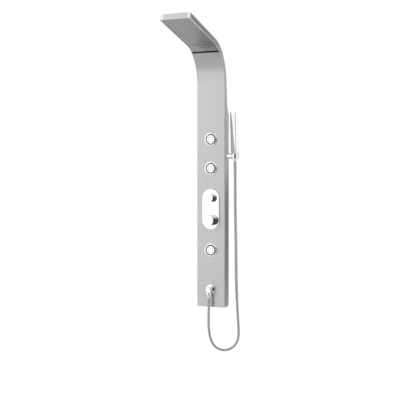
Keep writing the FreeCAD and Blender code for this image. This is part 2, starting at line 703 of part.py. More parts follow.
def make_control(name, centre, bore, stem, neck, knob, reach):
    """Cartridge, collar, spindle, knob and grub screw of one control, all about its axis."""
    cartridge = bore - 0.1
    cartridge_front = CONTROL_PLATE_FRONT + 2
    save(name + "_cartridge", turned(
        centre, FORWARD,
        (stem + 0.05, -20), (stem + 0.05, cartridge_front + 3), (stem + 2.5, cartridge_front + 3),
        (stem + 2.5, cartridge_front), (cartridge, cartridge_front), (cartridge, -34), (0, -34), (0, -20),
    ))
    collar = neck + COLLAR_WIDTH
    collar_front = CONTROL_PLATE_FRONT + 4
    save(name + "_collar", turned(
        centre, FORWARD,
        (neck, CONTROL_PLATE_FRONT), (collar, CONTROL_PLATE_FRONT), (collar, collar_front - 1),
        (collar - 1, collar_front), (neck, collar_front),
    ))
    spindle_end = reach - 6
    save(name + "_spindle", rod(centre, FORWARD, stem, -19.5, spindle_end))

    base = CONTROL_PLATE_FRONT + KNOB_GAP
    edge = 2.0
    hub = stem + 4
    inside = knob - KNOB_WALL
    shell = turned(
        centre, FORWARD,
        (0, reach - 4), (hub, reach - 5), (inside - 0.8, reach - 7), (inside, base + 1),
        (inside, base), (knob - 0.6, base), (knob, base + 0.6), (knob, reach - edge),
        ((knob - 0.6, reach - 0.6), (knob - edge, reach)), (0, reach),
    )
    grub_axis = centre + FORWARD * (reach - 10)
    hub_rod = rod(centre, FORWARD, hub, 14, reach - 3)
    spindle_hole = rod(centre, FORWARD, stem, 10, spindle_end)
    key_hole = rod(grub_axis, DOWN, GRUB_RADIUS, stem - 1, knob + 2)
    save(name + "_knob", shell.fuse(hub_rod).cut(spindle_hole).cut(key_hole))
    save(name + "_grub_screw", rod(grub_axis, DOWN, GRUB_RADIUS - 0.05, stem + 0.05, stem + 5))


def make_controls():
    mixer = V(0, FRONT, MIXER_HEIGHT)
    diverter = V(0, FRONT, DIVERTER_HEIGHT)
    make_control_plate(mixer, diverter)
    make_valve_body(mixer, diverter)
    make_control("mixer", mixer, MIXER_BORE_RADIUS, MIXER_STEM_RADIUS, MIXER_NECK_RADIUS,
                 MIXER_KNOB_RADIUS, MIXER_KNOB_REACH)
    make_control("diverter", diverter, DIVERTER_BORE_RADIUS, DIVERTER_STEM_RADIUS, DIVERTER_NECK_RADIUS,
                 DIVERTER_KNOB_RADIUS, DIVERTER_KNOB_REACH)


# ---- outlet for the hand shower ----------------------------------------------------------------

def make_outlet():
    centre = V(0, FRONT, OUTLET_HEIGHT)
    hose_axis = V(0, HOSE_Y, OUTLET_HEIGHT)
    barrel_radius = OUTLET_BARREL_RADIUS
    thread = OUTLET_THREAD_RADIUS
    flange = OUTLET_FLANGE_RADIUS
    bore_in = barrel_radius + 0.1
    save("outlet_flange", turned(
        centre, FORWARD,
        (bore_in, 0), (flange, 0), (flange, 2.5), ((flange - 1.2, 5.2), (flange - 4, 6.4)),
        (bore_in + 1.4, 7.5), (bore_in, 7.5),
    ))
    barrel = turned(
        centre, FORWARD,
        (0, -24), (thread, -24), (thread, 0), (barrel_radius, 0),
        (barrel_radius, OUTLET_REACH - 1.5), (barrel_radius - 1.5, OUTLET_REACH),
        (3.0, OUTLET_REACH), (2.2, OUTLET_REACH - 0.8), (0, OUTLET_REACH - 0.8),
    )
    spout_end = 28.0
    spout = turned(
        hose_axis, DOWN,
        (0, 0), (11.6, 0), (11.6, 14), (thread - 0.1, 14.5), (thread - 0.1, spout_end), (0, spout_end),
    )
    bores = [
        rod(centre, FORWARD, OUTLET_BORE, -25, HOSE_OUT),
        rod(hose_axis, DOWN, OUTLET_BORE, -2, spout_end + 1),
    ]
    save("outlet_elbow", barrel.fuse(spout).cut(Part.makeCompound(bores)))
    save("outlet_lock_nut", hex_nut(centre, FORWARD, 30.0, thread, -SHEET - 7, -SHEET))
    tail_axis = V(0, PIPE_Y, OUTLET_HEIGHT)
    tail = rod(centre, FORWARD, 14.0, -40, -12).cut(rod(centre, FORWARD, thread, -24, -10))
    tail = tail.fuse(rod(tail_axis, UP, PIPE_RADIUS, 8, 32))
    save("outlet_tail", tail.cut(rod(tail_axis, UP, PIPE_BORE, 0, 33)))

    sleeve = HOSE_SLEEVE_RADIUS
    nut_end = 34.0
    save("hose_nut", turned(
        hose_axis, DOWN,
        (thread, 15), (11.6, 15), (12.0, 15.6), (12.0, 25), (10.2, nut_end), (sleeve + 0.1, nut_end),
        (sleeve + 0.1, nut_end - 4), (thread, nut_end - 5),
    ))
    save("hose_sleeve", turned(
        hose_axis, DOWN,
        (0, spout_end + 0.2), (sleeve, spout_end + 0.2), (sleeve, HOSE_SLEEVE_END - 0.8),
        (sleeve - 0.7, HOSE_SLEEVE_END), (0, HOSE_SLEEVE_END),
    ))


# ---- hose, hand shower and holder -----------------------------------------------------------------

def make_hose():
    route = [V(*point) for point in HOSE_ROUTE]
    radii = easy_bends(route)
    print("hose bend radii", [round(r) for r in radii])
    save("shower_hose", pipe(route, HOSE_RADIUS, radii))


def in_holder(shape):
    """Lean and swing a piece, made about the socket's axis, into the holder."""
    lean = FreeCAD.Rotation(RIGHT, HANDSET_LEAN)
    swing = FreeCAD.Rotation(UP, HANDSET_SWING)
    shape.Placement = FreeCAD.Placement(HOLDER_CENTRE, lean.multiply(swing)).multiply(shape.Placement)
    return shape


def make_holder():
    origin = V(0, 0, 0)
    half = SOCKET_HALF
    socket = in_holder(turned(
        origin, UP,
        (0, -half), (SOCKET_RADIUS - 4, -half),
        ((SOCKET_RADIUS - 1.2, 1.2 - half), (SOCKET_RADIUS, 4 - half)),
        (SOCKET_RADIUS, half - 4), ((SOCKET_RADIUS - 1.2, half - 1.2), (SOCKET_RADIUS - 4, half)),
        (0, half),
    ))
    side = V(HALF_WIDTH, HOLDER_CENTRE.y, HOLDER_HEIGHT)
    reach = HOLDER_AXIS_X - HALF_WIDTH
    rose = HOLDER_ARM_RADIUS + 2.5
    arm = turned(
        side, RIGHT,
        (0, 0), (rose, 0), (rose, 2.4), (rose - 1, 3.4), (HOLDER_ARM_RADIUS, 3.4),
        (HOLDER_ARM_RADIUS, reach), (0, reach),
    )
    taper = in_holder(turned(origin, UP, (0, -20), (11.3, -20), (13.4, 20), (0, 20)))
    bolt_hole = rod(side, RIGHT, HOLDER_BOLT_RADIUS, -1, 16)
    save("holder_arm", arm.fuse(socket).cut(taper).cut(bolt_hole))
    save("holder_liner", in_holder(turned(
        origin, UP, (9.8, -half), (11.6, -half), (13.08, half), (11.9, half),
    )))
    bolt = HOLDER_BOLT_RADIUS - 0.05
    save("holder_bolt", turned(
        side, RIGHT, (0, -6.5), (7, -6.5), (7, -SHEET), (bolt, -SHEET), (bolt, 14), (0, 14),
    ))


def make_hand_shower():
    origin = V(0, 0, 0)
    foot = HANDSET_FOOT
    top = foot + HANDSET_LENGTH
    half_width = HANDSET_WIDTH / 2
    front = -HANDSET_THICKNESS / 2
    back = HANDSET_THICKNESS / 2
    face_half = SPRAY_FACE_WIDTH / 2
    face_high = top - SPRAY_FACE_TOP_IN
    face_low = face_high - SPRAY_FACE_LENGTH
    floor = front + SPRAY_FACE_DEPTH
    plate_back = floor - 1.4
    body = rounded_block((-half_width, front, foot), (half_width, back, top), HANDSET_EDGE_RADIUS, "Z")
    end_edges = [e for e in body.Edges if e.BoundBox.ZLength < 0.01]
    body = body.makeFillet(1.5, end_edges)
    recess = rounded_block((-face_half, front - 1, face_low), (face_half, floor, face_high), 3.0, "Y")
    waterway = block((4 - face_half, floor - 1.5, face_low + 4), (face_half - 4, back - 3, face_high - 4))
    inlet = rod(origin, UP, 5.0, foot - 1, face_low + 10)
    save("handset_body", in_holder(body.cut(Part.makeCompound([recess, waterway, inlet]))))

    play = 0.2
    plate_foot = (play - face_half, front - 0.4, face_low + play)
    plate_head = (face_half - play, plate_back, face_high - play)
    plate = rounded_block(plate_foot, plate_head, 2.8, "Y")
    mat = block((2 - face_half, plate_back, face_low + 2), (face_half - 2, floor, face_high - 2))
    holes = []
    tips = []
    for row in range(SPRAY_ROWS):
        for column in range(SPRAY_COLUMNS):
            x = (column - (SPRAY_COLUMNS - 1) / 2) * SPRAY_COLUMN_STEP
            spot = V(x, plate_back, face_low + 7.5 + row * SPRAY_ROW_STEP)
            holes.append(prism(spot, FORWARD, 1.9, -1, 4))
            tips.append(spike(spot, FORWARD, 1.8, 1.2, -0.4, 2.8))
    save("handset_face", in_holder(plate.cut(Part.makeCompound(holes))))
    save("handset_nozzles", in_holder(mat.fuse(tips)))

    sleeve = HOSE_SLEEVE_RADIUS
    cone_end = -13.6
    sleeve_end = -27.0
    save("handset_cone_nut", in_holder(turned(
        origin, UP,
        (0, foot), (11.4, foot), (11.4, foot - 1), (9.35, cone_end + 0.6), (8.6, cone_end), (0, cone_end),
    )))
    save("handset_sleeve", in_holder(turned(
        origin, UP,
        (0, cone_end), (sleeve, cone_end), (sleeve, sleeve_end + 0.8), (sleeve - 0.7, sleeve_end),
        (0, sleeve_end),
    )))


# ---- fixing to the wall ------------------------------------------------------------------------

def make_fixings():
    """Wall brackets with an upturned lip, and the hangers in the column that hook over them."""
    sheet = BRACKET_SHEET
    wide = BRACKET_HALF_WIDTH
    hook = HANGER_HALF_WIDTH
    lip_y = -8.0
    web_y = -12.0
    tongue_y = lip_y + sheet + HOOK_GAP
    for place, side in (("upper", 1), ("lower", -1)):
        level = side * SCREW_SPACING_Z / 2
        step_level = level + 23
        lip_top = level + 40
        web_top = level + 66
        plate = rounded_block((-wide, -sheet, level - 18), (wide, 0, step_level + sheet), 4.0, "Y")
        step = block((-wide, lip_y, step_level), (wide, 0, step_level + sheet))
        lip = block((-wide, lip_y, step_level), (wide, lip_y + sheet, lip_top))
        bracket = plate.fuse([step, lip])
        for x in (-SCREW_SPACING_X / 2, SCREW_SPACING_X / 2):
            bracket = bracket.cut(rod(V(x, 0, level), FORWARD, SCREW_HOLE_RADIUS, -1, sheet + 1))
        save("wall_bracket_" + place, bracket.removeSplitter())

        web = block((-INNER_HALF, web_y, lip_top), (INNER_HALF, web_y + sheet, web_top))
        ledge = block((-hook, web_y, lip_top), (hook, tongue_y + sheet, lip_top + sheet))
        tongue = block((-hook, tongue_y, level + 27), (hook, tongue_y + sheet, lip_top + sheet))
        tabs = [
            block((-INNER_HALF, 2 * web_y, lip_top), (sheet - INNER_HALF, web_y + sheet, web_top)),
            block((INNER_HALF - sheet, 2 * web_y, lip_top), (INNER_HALF, web_y + sheet, web_top)),
        ]
        save("hanger_" + place, web.fuse([ledge, tongue] + tabs).removeSplitter())


# ---- hoses inside the column --------------------------------------------------------------------

def make_inner_hoses():
    left = -HEAD_PIPE_SIDE
    arch_y = FRONT + NIPPLE_DEPTH
    turn = CHAMBER_REAR
    corner_rise = (ARCH_RADIUS + NIPPLE_DEPTH) * math.tan(turn / 2)
    nipple_way = V(0, math.sin(turn), -math.cos(turn))
    nipple_end = on_arch(NIPPLE_DEPTH, turn) + V(left, 0, 0) + nipple_way * NIPPLE_LENGTH
    side_bend = 200.0
    arch_bend = (corner_rise - NIPPLE_LENGTH - 6) / math.tan(turn / 2)
    head_route = [
        V(left, PIPE_Y, DIVERTER_HEIGHT + 24),
        V(left, PIPE_Y, 390),
        V(left, arch_y, 520),
        V(left, arch_y, ARCH_START + corner_rise),
        nipple_end,
    ]
    save("head_feed_hose", pipe(head_route, PIPE_RADIUS, [side_bend, side_bend, arch_bend]))

    spigot = JET_SPIGOT_END
    links = [
        (DIVERTER_HEIGHT + 34, JET_HEIGHTS["middle"] - spigot),
        (JET_HEIGHTS["middle"] + spigot, JET_HEIGHTS["upper"] - spigot),
        (JET_HEIGHTS["lower"] + spigot, MIXER_HEIGHT - 63),
    ]
    straight = [rod(V(0, PIPE_Y, low), UP, PIPE_RADIUS, 0, high - low) for low, high in links]
    save_group("jet_feed_hoses", straight)

    hand_bend = 55.0
    hand_route = [
        V(PIPE_SIDE, PIPE_Y, DIVERTER_HEIGHT - 24),
        V(PIPE_SIDE, PIPE_Y, -300),
        V(0, PIPE_Y, -368),
        V(0, PIPE_Y, OUTLET_HEIGHT + 32),
    ]
    save("hand_feed_hose", pipe(hand_route, PIPE_RADIUS, [hand_bend, hand_bend]))

    # union nuts over the ends of the inner hoses
    ends = [(V(0, PIPE_Y, low), UP) for low, high in links]
    ends += [(V(0, PIPE_Y, high), DOWN) for low, high in links]
    ends += [
        (head_route[0], UP), (nipple_end, nipple_way),
        (hand_route[0], DOWN), (hand_route[-1], UP),
    ]
    nuts = [hex_nut(foot, way, 16.0, PIPE_RADIUS + 0.1, -6, 7) for foot, way in ends]
    save_group("union_nuts", nuts)


make_panel_shell()
make_back_cover()
make_rain_head()
make_jets()
make_controls()
make_outlet()
make_hose()
make_holder()
make_hand_shower()
make_fixings()
make_inner_hoses()
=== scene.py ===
import math

import bmesh
import bpy
from mathutils import Matrix, Vector


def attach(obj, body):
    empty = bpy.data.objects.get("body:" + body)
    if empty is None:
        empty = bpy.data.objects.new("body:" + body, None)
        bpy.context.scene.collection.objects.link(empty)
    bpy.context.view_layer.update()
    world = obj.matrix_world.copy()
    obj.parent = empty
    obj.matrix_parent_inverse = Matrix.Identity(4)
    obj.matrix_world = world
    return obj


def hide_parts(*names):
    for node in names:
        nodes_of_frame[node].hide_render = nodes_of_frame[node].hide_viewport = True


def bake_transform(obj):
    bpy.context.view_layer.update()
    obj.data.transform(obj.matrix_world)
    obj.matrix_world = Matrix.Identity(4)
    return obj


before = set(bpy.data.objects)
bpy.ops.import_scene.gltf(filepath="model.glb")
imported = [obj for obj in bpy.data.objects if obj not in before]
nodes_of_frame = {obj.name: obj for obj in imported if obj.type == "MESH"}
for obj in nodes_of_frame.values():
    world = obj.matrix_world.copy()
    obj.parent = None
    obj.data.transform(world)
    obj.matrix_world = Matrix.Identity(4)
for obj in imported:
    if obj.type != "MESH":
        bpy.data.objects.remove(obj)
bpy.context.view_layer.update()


# ---- viewpoint ---------------------------------------------------------------------------
# The column is seen from 3.8 m away and 20 degrees to its right, through a long lens held
# level with the controls.

VIEW_POINT = (1.2672, -3.6157, 0.1066)
VIEW_PITCH = math.radians(-1.405)
VIEW_YAW = math.radians(20.47)
LENS_MM = 66.54
SENSOR_MM = 36.0


def in_scene(name, data):
    """New object for some data, linked into the scene."""
    thing = bpy.data.objects.new(name, data)
    bpy.context.scene.collection.objects.link(thing)
    return thing


lens = bpy.data.cameras.new("viewpoint")
lens.lens = LENS_MM
lens.sensor_width = SENSOR_MM
viewpoint = in_scene("viewpoint", lens)
viewpoint.location = VIEW_POINT
viewpoint.rotation_euler = (math.pi / 2 + VIEW_PITCH, 0, VIEW_YAW)
bpy.context.scene.camera = viewpoint
bpy.context.scene.view_settings.view_transform = "Standard"


# ---- shower hose -------------------------------------------------------------------------
# The hose hangs in one open loop from the outlet to the hand shower.  It is a satin steel
# strip wound round a soft inner tube, each turn hooked into the last, so it shows fine ridges.

HOSE_ROUTE = [
    (0.000, -0.092, -0.480),
    (0.000, -0.092, -0.530),
    (-0.002, -0.093, -0.585),
    (-0.001, -0.092, -0.645),
    (0.011, -0.086, -0.706),
    (0.040, -0.072, -0.741),
    (0.079, -0.052, -0.750),
    (0.115, -0.033, -0.732),
    (0.135, -0.022, -0.694),
    (0.136, -0.021, -0.640),
    (0.131, -0.024, -0.565),
    (0.127, -0.026, -0.470),
    (0.124, -0.028, -0.340),
    (0.123, -0.028, -0.190),
    (0.120, -0.029, -0.040),
    (0.119, -0.029, 0.080),
    (0.118, -0.0253, 0.1682),
    (0.118, -0.0289, 0.2130),
]
HOSE_DIAMETER = 0.014
RIDGE_PITCH = 0.0034
RIDGE_DEPTH = 0.0009
STEPS_PER_RIDGE = 8
HOSE_SIDES = 16
HOSE_STEEL = (0.50, 0.50, 0.505)
HOSE_JOINT_SHADE = (0.09, 0.09, 0.095)
JOINT_DULLER = 0.25
JOINT_SHARPNESS = 4.0


def new_tree(name, sockets):
    """Empty geometry tree with its inputs, given as (name, kind, value), and one mesh output."""
    tree = bpy.data.node_groups.new(name, "GeometryNodeTree")
    tree.interface.new_socket("Geometry", in_out="INPUT", socket_type="NodeSocketGeometry")
    tree.interface.new_socket("Geometry", in_out="OUTPUT", socket_type="NodeSocketGeometry")
    for label, kind, value in sockets:
        socket = tree.interface.new_socket(label, in_out="INPUT", socket_type="NodeSocket" + kind)
        if value is not None:
            socket.default_value = value
    return tree, tree.nodes.new("NodeGroupInput"), tree.nodes.new("NodeGroupOutput")


def put(tree, kind, settings=None, **sockets):
    """Node in a tree: settings go on the node, and each socket gets a value or another socket."""
    node = tree.nodes.new(kind)
    for key, value in (settings or {}).items():
        setattr(node, key, value)
    for label, value in sockets.items():
        place = int(label[1:]) if label[0] == "i" and label[1:].isdigit() else label.replace("_", " ")
        if isinstance(value, bpy.types.NodeSocket):
            tree.links.new(value, node.inputs[place])
        else:
            node.inputs[place].default_value = value
    return node


def sum_of(tree, operation, first, second=0.0):
    """Result of one sum in a tree."""
    return put(tree, "ShaderNodeMath", {"operation": operation}, i0=first, i1=second).outputs[0]


def hand_out(tree, given, out, shape):
    """Ends a geometry tree: real meshes in place of copies, in the finish that the tree is given."""
    whole = put(tree, "GeometryNodeRealizeInstances", Geometry=shape)
    dressed = put(tree, "GeometryNodeSetMaterial", Geometry=whole.outputs[0],
                  Material=given.outputs["Material"])
    tree.links.new(dressed.outputs[0], out.inputs["Geometry"])


def as_mesh(thing):
    """Mesh of an object as its modifiers leave it."""
    depsgraph = bpy.context.evaluated_depsgraph_get()
    return bpy.data.meshes.new_from_object(thing.evaluated_get(depsgraph), depsgraph=depsgraph)


def grown(name, start_mesh, tree, settings):
    """Plain mesh piece that a geometry tree makes from a starting mesh."""
    start = in_scene(name + "_start", start_mesh)
    making = start.modifiers.new("making", "NODES")
    making.node_group = tree
    for item in tree.interface.items_tree:
        if item.in_out == "INPUT" and item.name in settings:
            making[item.identifier] = settings[item.name]
    mesh = as_mesh(start)
    start.modifiers.remove(making)
    bpy.data.objects.remove(start)
    return in_scene(name, mesh)


def new_finish(name, colour, roughness, metallic=0.0):
    """Material with its plain values on the shader, ready for the nodes that vary them."""
    finish = bpy.data.materials.new(name)
    finish.use_nodes = True
    shader = finish.node_tree.nodes["Principled BSDF"]
    shader.inputs["Base Color"].default_value = (*colour, 1)
    shader.inputs["Roughness"].default_value = roughness
    shader.inputs["Metallic"].default_value = metallic
    return finish, finish.node_tree, shader


def new_effect(name, inputs, outputs):
    """Empty group of shader nodes with named inputs and outputs."""
    group = bpy.data.node_groups.new(name, "ShaderNodeTree")
    for label, kind, value in inputs:
        socket = group.interface.new_socket(label, in_out="INPUT", socket_type="NodeSocket" + kind)
        if value is not None:
            socket.default_value = value
    for label, kind in outputs:
        group.interface.new_socket(label, in_out="OUTPUT", socket_type="NodeSocket" + kind)
    return group, group.nodes.new("NodeGroupInput"), group.nodes.new("NodeGroupOutput")


def use_effect(tree, group, **sockets):
    """A group placed in a material with its own values."""
    node = tree.nodes.new("ShaderNodeGroup")
    node.node_tree = group
    for label, value in sockets.items():
        if isinstance(value, bpy.types.NodeSocket):
            tree.links.new(value, node.inputs[label.replace("_", " ")])
        else:
            node.inputs[label.replace("_", " ")].default_value = value
    return node


def mixed_colour(tree, share, first, second):
    """Colour that goes from the first to the second as a share goes from 0 to 1."""
    ends = [end if isinstance(end, bpy.types.NodeSocket) else (*end, 1) for end in (first, second)]
    return put(tree, "ShaderNodeMix", {"data_type": "RGBA"}, Factor=share, i6=ends[0], i7=ends[1]).outputs[2]


def shades(colour, darker, lighter):
    """A darker and a lighter shade of a colour, as shares of it."""
    return [c * darker for c in colour], [min(c * lighter, 1.0) for c in colour]


def emboss(tree, shader, height, strength, depth):
    """Fine relief on a surface, from a height that varies over it."""
    relief = put(tree, "ShaderNodeBump", Height=height, Strength=strength, Distance=depth)
    tree.links.new(relief.outputs[0], shader.inputs["Normal"])


def make_handling_marks():
    """Faint cloudy smears that hands and water leave: they vary a surface's roughness and shade."""
    group, given, out = new_effect(
        "handling_marks",
        [("Place", "Vector", None), ("Size", "Float", 0.03), ("Low", "Float", 0.1), ("High", "Float", 0.2)],
        [("Roughness", "Float"), ("Clouds", "Float")],
    )
    size = sum_of(group, "DIVIDE", 1.0, given.outputs["Size"])
    clouds = put(group, "ShaderNodeTexNoise", Vector=given.outputs["Place"], Scale=size, Detail=5.0,
                 Roughness=0.62)
    spread = put(group, "ShaderNodeMapRange", Value=clouds.outputs[0], From_Min=0.32, From_Max=0.70,
                 To_Min=given.outputs["Low"], To_Max=given.outputs["High"])
    group.links.new(spread.outputs[0], out.inputs["Roughness"])
    group.links.new(clouds.outputs[0], out.inputs["Clouds"])
    return group


handling_marks = make_handling_marks()


def smear(tree, shader, place, size, low, high):
    """Roughens a surface by smears of a size, between two roughnesses, and returns their clouds."""
    marks = use_effect(tree, handling_marks, Place=place, Size=size, Low=low, High=high)
    tree.links.new(marks.outputs["Roughness"], shader.inputs["Roughness"])
    return marks.outputs["Clouds"]


def make_hose_steel():
    """Wound strip: bright on the crests, dull down in the joints, where a darker colour is painted shade."""
    finish, tree, shader = new_finish("wound_strip_steel", HOSE_STEEL, roughness=0.34, metallic=1.0)
    joint = put(tree, "ShaderNodeAttribute", {"attribute_name": "joint"})
    place = put(tree, "ShaderNodeTexCoord")
    marks = use_effect(tree, handling_marks, Place=place.outputs["Object"], Size=0.012, Low=0.26, High=0.42)
    crest = put(tree, "ShaderNodeMapRange", Value=joint.outputs["Fac"], From_Min=0.05, From_Max=0.9,
                To_Min=0.0, To_Max=1.0)
    # darker colour down in the joints between turns: painted shade
    colour = mixed_colour(tree, crest.outputs[0], HOSE_STEEL, HOSE_JOINT_SHADE)
    tree.links.new(colour, shader.inputs["Base Color"])
    duller = sum_of(tree, "MULTIPLY", crest.outputs[0], JOINT_DULLER)
    rough = sum_of(tree, "ADD", marks.outputs["Roughness"], duller)
    tree.links.new(rough, shader.inputs["Roughness"])
    return finish


def make_hose_tree():
    """Tube along a line whose radius dips at each joint between two turns of the strip."""
    tree, given, out = new_tree("interlocked_hose", [
        ("Radius", "Float", 0.007), ("Ridge Pitch", "Float", 0.003), ("Ridge Depth", "Float", 0.001),
        ("Steps Per Ridge", "Int", 8), ("Sides", "Int", 16), ("Material", "Material", None),
    ])
    step = sum_of(tree, "DIVIDE", given.outputs["Ridge Pitch"], given.outputs["Steps Per Ridge"])
    line = put(tree, "GeometryNodeMeshToCurve", Mesh=given.outputs["Geometry"])
    stepped = put(tree, "GeometryNodeResampleCurve", {"mode": "LENGTH"}, Curve=line.outputs[0], Length=step)
    travelled = put(tree, "GeometryNodeSplineParameter").outputs["Length"]
    turns = sum_of(tree, "FRACT", sum_of(tree, "DIVIDE", travelled, given.outputs["Ridge Pitch"]))
    doubled = sum_of(tree, "MULTIPLY", turns, 2.0)
    from_crest = sum_of(tree, "ABSOLUTE", sum_of(tree, "SUBTRACT", doubled, 1.0))
    joint = sum_of(tree, "POWER", from_crest, JOINT_SHARPNESS)
    radius = sum_of(tree, "SUBTRACT", given.outputs["Radius"],
                    sum_of(tree, "MULTIPLY", joint, given.outputs["Ridge Depth"]))
    marked = put(tree, "GeometryNodeStoreNamedAttribute", {"data_type": "FLOAT", "domain": "POINT"},
                 Geometry=stepped.outputs[0], Name="joint", Value=joint)
    section = put(tree, "GeometryNodeCurvePrimitiveCircle", Resolution=given.outputs["Sides"])
    section.inputs["Radius"].default_value = 1.0
    tube = put(tree, "GeometryNodeCurveToMesh", Curve=marked.outputs[0], Profile_Curve=section.outputs[0],
               Scale=radius, Fill_Caps=True)
    smooth = put(tree, "GeometryNodeSetShadeSmooth", Geometry=tube.outputs[0])
    hand_out(tree, given, out, smooth.outputs[0])
    return tree


def route_line(route):
    """Smooth line through the hose's loop, with the route's points as its control points."""
    curve = bpy.data.curves.new("hose_line", "CURVE")
    curve.dimensions = "3D"
    curve.resolution_u = 12
    spline = curve.splines.new("NURBS")
    spline.points.add(len(route) - 1)
    for point, place in zip(spline.points, route):
        point.co = (*place, 1)
    spline.order_u = 3
    spline.use_endpoint_u = True
    holder = in_scene("hose_line", curve)
    line = as_mesh(holder)
    bpy.data.objects.remove(holder)
    return line


hose_line = route_line(HOSE_ROUTE)
shower_hose = grown("wound_shower_hose", hose_line, make_hose_tree(), {
    "Radius": HOSE_DIAMETER / 2, "Ridge Pitch": RIDGE_PITCH, "Ridge Depth": RIDGE_DEPTH,
    "Steps Per Ridge": STEPS_PER_RIDGE, "Sides": HOSE_SIDES, "Material": make_hose_steel(),
})
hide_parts("shower_hose")
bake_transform(shower_hose)


# ---- studio ------------------------------------------------------------------------------
# A pale floor below the column and a white room round it.  The walls are bright to both sides
# of the lens, dark where the lens stands and dim behind the column.  One lamp lights the front,
# and one the right side.

FLOOR_LEVEL = -1.30
FLOOR_HALF = 3.6
FLOOR_MIDDLE_Y = 1.1
FLOOR_GLOW = 0.45
FLOOR_GREY = (0.80, 0.80, 0.80)
WALL_LIGHT = 1.5
# light of the walls by bearing: 0 degrees is straight in front of the column, 90 is to its right
EYE_LEVEL_WALLS = [
    (-180, 0.24), (-120, 0.56), (-80, 0.88), (-13, 0.90), (-3, 0.03), (40, 0.03), (54, 0.64),
    (85, 0.88), (118, 0.80), (138, 0.14), (180, 0.24),
]
OVERHEAD_WALLS = [(-180, 0.40), (-110, 0.62), (-60, 0.72), (30, 0.72), (100, 0.72), (140, 0.26), (180, 0.40)]
DARK_PLACE_TOP = 0.36
DARK_PLACE_SOFTNESS = 0.24


def make_floor():
    mesh = bpy.data.meshes.new("floor")
    corners = [(-FLOOR_HALF, -FLOOR_HALF), (FLOOR_HALF, -FLOOR_HALF), (FLOOR_HALF, FLOOR_HALF),
               (-FLOOR_HALF, FLOOR_HALF)]
    mesh.from_pydata([(x, y + FLOOR_MIDDLE_Y, FLOOR_LEVEL) for x, y in corners], [], [(0, 1, 2, 3)])
    floor = in_scene("floor", mesh)
    finish, tree, shader = new_finish("pale_floor", FLOOR_GREY, roughness=0.9)
    place = put(tree, "ShaderNodeTexCoord")
    grain = put(tree, "ShaderNodeTexNoise", Vector=place.outputs["Object"], Scale=3.0, Detail=3.0)
    tint = put(tree, "ShaderNodeMapRange", Value=grain.outputs[0], To_Min=0.79, To_Max=0.81)
    tree.links.new(tint.outputs[0], shader.inputs["Base Color"])
    seen = put(tree, "ShaderNodeLightPath")
    white = sum_of(tree, "MULTIPLY", seen.outputs["Is Camera Ray"], FLOOR_GLOW)
    shader.inputs["Emission Color"].default_value = (1, 1, 1, 1)
    tree.links.new(white, shader.inputs["Emission Strength"])
    mesh.materials.append(finish)


def wall_ramp(tree, bearing, stops):
    """Light of the walls at one height, read round the room from its named stops."""
    place = sum_of(tree, "ADD", sum_of(tree, "DIVIDE", bearing, 2 * math.pi), 0.5)
    ramp = put(tree, "ShaderNodeValToRGB", Fac=place)
    ramp.color_ramp.interpolation = "EASE"
    ends = ramp.color_ramp.elements
    for i, (degrees, share) in enumerate(stops):
        stop = ends[0] if i == 0 else ends[-1] if i == len(stops) - 1 else ends.new(degrees / 360 + 0.5)
        stop.position = degrees / 360 + 0.5
        stop.color = (share, share, share, 1)
    return ramp.outputs["Color"]


def make_room_light():
    world = bpy.data.worlds.new("room")
    bpy.context.scene.world = world
    world.use_nodes = True
    tree = world.node_tree
    background = tree.nodes["Background"]
    way = put(tree, "ShaderNodeSeparateXYZ", Vector=put(tree, "ShaderNodeTexCoord").outputs["Generated"])
    bearing = sum_of(tree, "ARCTAN2", way.outputs["X"], sum_of(tree, "MULTIPLY", way.outputs["Y"], -1.0))
    height = put(tree, "ShaderNodeMapRange", {"interpolation_type": "SMOOTHSTEP"}, Value=way.outputs["Z"],
                 From_Min=DARK_PLACE_TOP - DARK_PLACE_SOFTNESS, From_Max=DARK_PLACE_TOP)
    walls = mixed_colour(tree, height.outputs[0], wall_ramp(tree, bearing, EYE_LEVEL_WALLS),
                         wall_ramp(tree, bearing, OVERHEAD_WALLS))
    seen = put(tree, "ShaderNodeLightPath")
    strength = put(tree, "ShaderNodeMix", {"data_type": "FLOAT"}, Factor=seen.outputs["Is Camera Ray"],
                   i2=WALL_LIGHT, i3=1.0)
    colour = mixed_colour(tree, seen.outputs["Is Camera Ray"], walls, (1, 1, 1))
    tree.links.new(colour, background.inputs["Color"])
    tree.links.new(strength.outputs[0], background.inputs["Strength"])


def make_lamp(name, place, aim, size, watts):
    light = bpy.data.lights.new(name, "AREA")
    light.shape = "RECTANGLE"
    light.size = size[0]
    light.size_y = size[1]
    light.energy = watts
    lamp = in_scene(name, light)
    lamp.location = place
    lamp.rotation_euler = (Vector(aim) - Vector(place)).to_track_quat("-Z", "Y").to_euler()
    lamp.visible_camera = False


make_floor()
make_room_light()
make_lamp("window_light", place=(-2.2, -2.6, 1.9), aim=(0, -0.1, 0.1), size=(1.6, 1.6), watts=10.0)
make_lamp("side_light", place=(0.72, 1.75, 0.62), aim=(0.07, 0, 0.4), size=(0.8, 1.0), watts=1.4)


# ---- column sheet and back cover -----------------------------------------------------------
# One stainless sheet, brushed along its length, is folded into a shallow box that is open to
# the wall, then drawn forward through the arch into the hood.  A thin sheet closes the arch.

